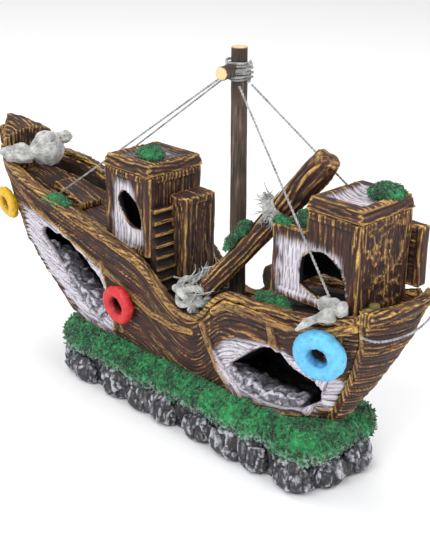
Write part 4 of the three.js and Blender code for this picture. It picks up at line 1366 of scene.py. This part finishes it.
class OrnamentTrim(bpy.types.Operator):
    """Sets pebbles, worn plaster patches and small moss tufts on the casting"""
    bl_idname = "ornament.trim"
    bl_label = "Pebbles and tufts"

    def execute(self, context):
        resin_stone = painted_rock("painted_pebble", linear("#6d6232"), linear("#cdbf72"), 1.4)
        grey_stone = painted_rock("painted_grey_lump", linear("#4a4136"), linear("#b3a78e"), 1.3)
        plaster = cotton("plastered_cotton", context.scene.ornament_colours.cotton)
        for name, centre, size, seed, material, slot in (
                ("pebble_upper", (91.2, -7.2, 87.6), (4.6, 4.4, 4.0), 1, resin_stone, "rock"),
                ("pebble_lower", (91.6, -11.5, 86.6), (5.6, 5.0, 3.8), 2, resin_stone, "rock"),
                ("quarter_lump", (24, 13, 72), (17, 8, 16), 3, grey_stone, "rock"),
                ("waist_debris", (-19.6, -11.6, 52.4), (6, 7, 4.6), 4, plaster, "rope"),
                ("block_debris", (-15.2, -3.6, 54.6), (2.6, 3.4, 8), 5, plaster, "rope")):
            piece = pebble(name, centre, size, seed, material)
            settle(piece, SHIP, slot)
        green = flock()
        for name, centre, size, seed in (
                ("rail_tuft", (-92, -20.2, 88.4), (23, 7.5, 5.6), 5),
                ("annex_tuft", (47.4, -12.6, 112.6), (9, 6, 4.4), 7)):
            piece = pebble(name, centre, size, seed, green)
            add_flock(piece, green, 1.5, seed, 0.8)
            settle(piece, SHIP, "moss")
        return {"FINISHED"}


# ---- stage ----
TARGET = Vector((26.779, -30.787, 86.995)) * MM
AZIMUTH, ELEVATION, ROLL = (math.radians(angle) for angle in (44.302, 22.53, 1.271))
DISTANCE = 450.015 * MM
LENS = 73.44
LENS_SHIFT = (0.0036, 0.0164)
FLOOR_REACH = 4000
FLOOR_LEVEL = -0.4


class OrnamentCamera(bpy.types.Operator):
    """Stands the camera off the port quarter, a little above the deck"""
    bl_idname = "ornament.camera"
    bl_label = "Camera"

    def execute(self, context):
        back = Vector((math.sin(AZIMUTH) * math.cos(ELEVATION), -math.cos(AZIMUTH) * math.cos(ELEVATION),
                       math.sin(ELEVATION)))
        right = Vector((0, 0, 1)).cross(back).normalized()
        up = back.cross(right)
        turned_right = right * math.cos(ROLL) + up * math.sin(ROLL)
        turned_up = up * math.cos(ROLL) - right * math.sin(ROLL)
        data = bpy.data.cameras.new("camera")
        data.lens = LENS
        data.shift_x, data.shift_y = LENS_SHIFT
        camera = bpy.data.objects.new("camera", data)
        context.scene.collection.objects.link(camera)
        turn = Matrix((turned_right, turned_up, back)).transposed().to_4x4()
        camera.matrix_world = Matrix.Translation(TARGET + back * DISTANCE) @ turn
        context.scene.camera = camera
        return {"FINISHED"}


class OrnamentStage(bpy.types.Operator):
    """Lays a pale floor under the ornament and lights it softly"""
    bl_idname = "ornament.stage"
    bl_label = "Floor and lights"

    def execute(self, context):
        material, tree = new_material("matt_white_card")
        card = add(tree, PAINT, {"Base Color": linear("#f4f4f5"), "Roughness": 0.85})
        add(tree, SURFACE, {"Surface": card})
        ring = ((-1, -1), (1, -1), (1, 1), (-1, 1))
        corners = [(x * FLOOR_REACH, y * FLOOR_REACH, FLOOR_LEVEL) for x, y in ring]
        floor = mesh_piece("floor", corners, [(0, 1, 2, 3)], material)
        floor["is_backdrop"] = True
        world = bpy.data.worlds.new("studio")
        world.use_nodes = True
        background = world.node_tree.nodes["Background"]
        background.inputs["Color"].default_value = (1, 1, 1, 1)
        background.inputs["Strength"].default_value = 0.75
        context.scene.world = world
        context.scene.view_settings.view_transform = "Standard"
        for name, place, size, power in (
                ("key", (0.25, -0.9, 0.95), 0.7, 9.0), ("fill", (1.2, 0.1, 0.6), 1.0, 5.0),
                ("top", (-0.4, 0.1, 1.4), 1.0, 8.0)):
            light = bpy.data.lights.new(name, "AREA")
            light.size = size
            light.energy = power
            lamp = bpy.data.objects.new(name, light)
            lamp.location = place
            aim = Vector((0, 0, 0.08)) - lamp.location
            lamp.rotation_euler = aim.to_track_quat("-Z", "Y").to_euler()
            context.scene.collection.objects.link(lamp)
        return {"FINISHED"}


class OrnamentPanel(bpy.types.Panel):
    """Lists the makers of every group of pieces"""
    bl_idname = "VIEW3D_PT_ornament"
    bl_label = "Sunken ship ornament"
    bl_space_type = "VIEW_3D"
    bl_region_type = "UI"
    bl_category = "Ornament"

    def draw(self, context):
        for group in (context.scene.ornament_sizes, context.scene.ornament_colours):
            for key in group.bl_rna.properties.keys():
                if key not in ("rna_type", "name"):
                    self.layout.prop(group, key)
        for operator in OPERATORS:
            self.layout.operator(operator.bl_idname)


OPERATORS = (
    OrnamentCamera, OrnamentRigging, OrnamentHull, OrnamentProw, OrnamentDecks, OrnamentCabins,
    OrnamentRockFoot, OrnamentMoss, OrnamentMasts, OrnamentRopes, OrnamentLifeRings, OrnamentAirUnit,
    OrnamentTrim, OrnamentStage,
)
CLASSES = (OrnamentSizes, OrnamentColours, OrnamentPanel, *OPERATORS)


def register():
    for item in CLASSES:
        bpy.utils.register_class(item)
    bpy.types.Scene.ornament_sizes = bpy.props.PointerProperty(type=OrnamentSizes)
    bpy.types.Scene.ornament_colours = bpy.props.PointerProperty(type=OrnamentColours)


def unregister():
    del bpy.types.Scene.ornament_colours
    del bpy.types.Scene.ornament_sizes
    for item in reversed(CLASSES):
        bpy.utils.unregister_class(item)


def main():
    register()
    for operator in OPERATORS:
        group, name = operator.bl_idname.split(".")
        getattr(getattr(bpy.ops, group), name)()
    boxes = {"cad": CAD_BOX, "visual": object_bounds()}
    plain = {key: [list(corner) for corner in box] for key, box in boxes.items()}


if __name__ == "__main__":
    main()
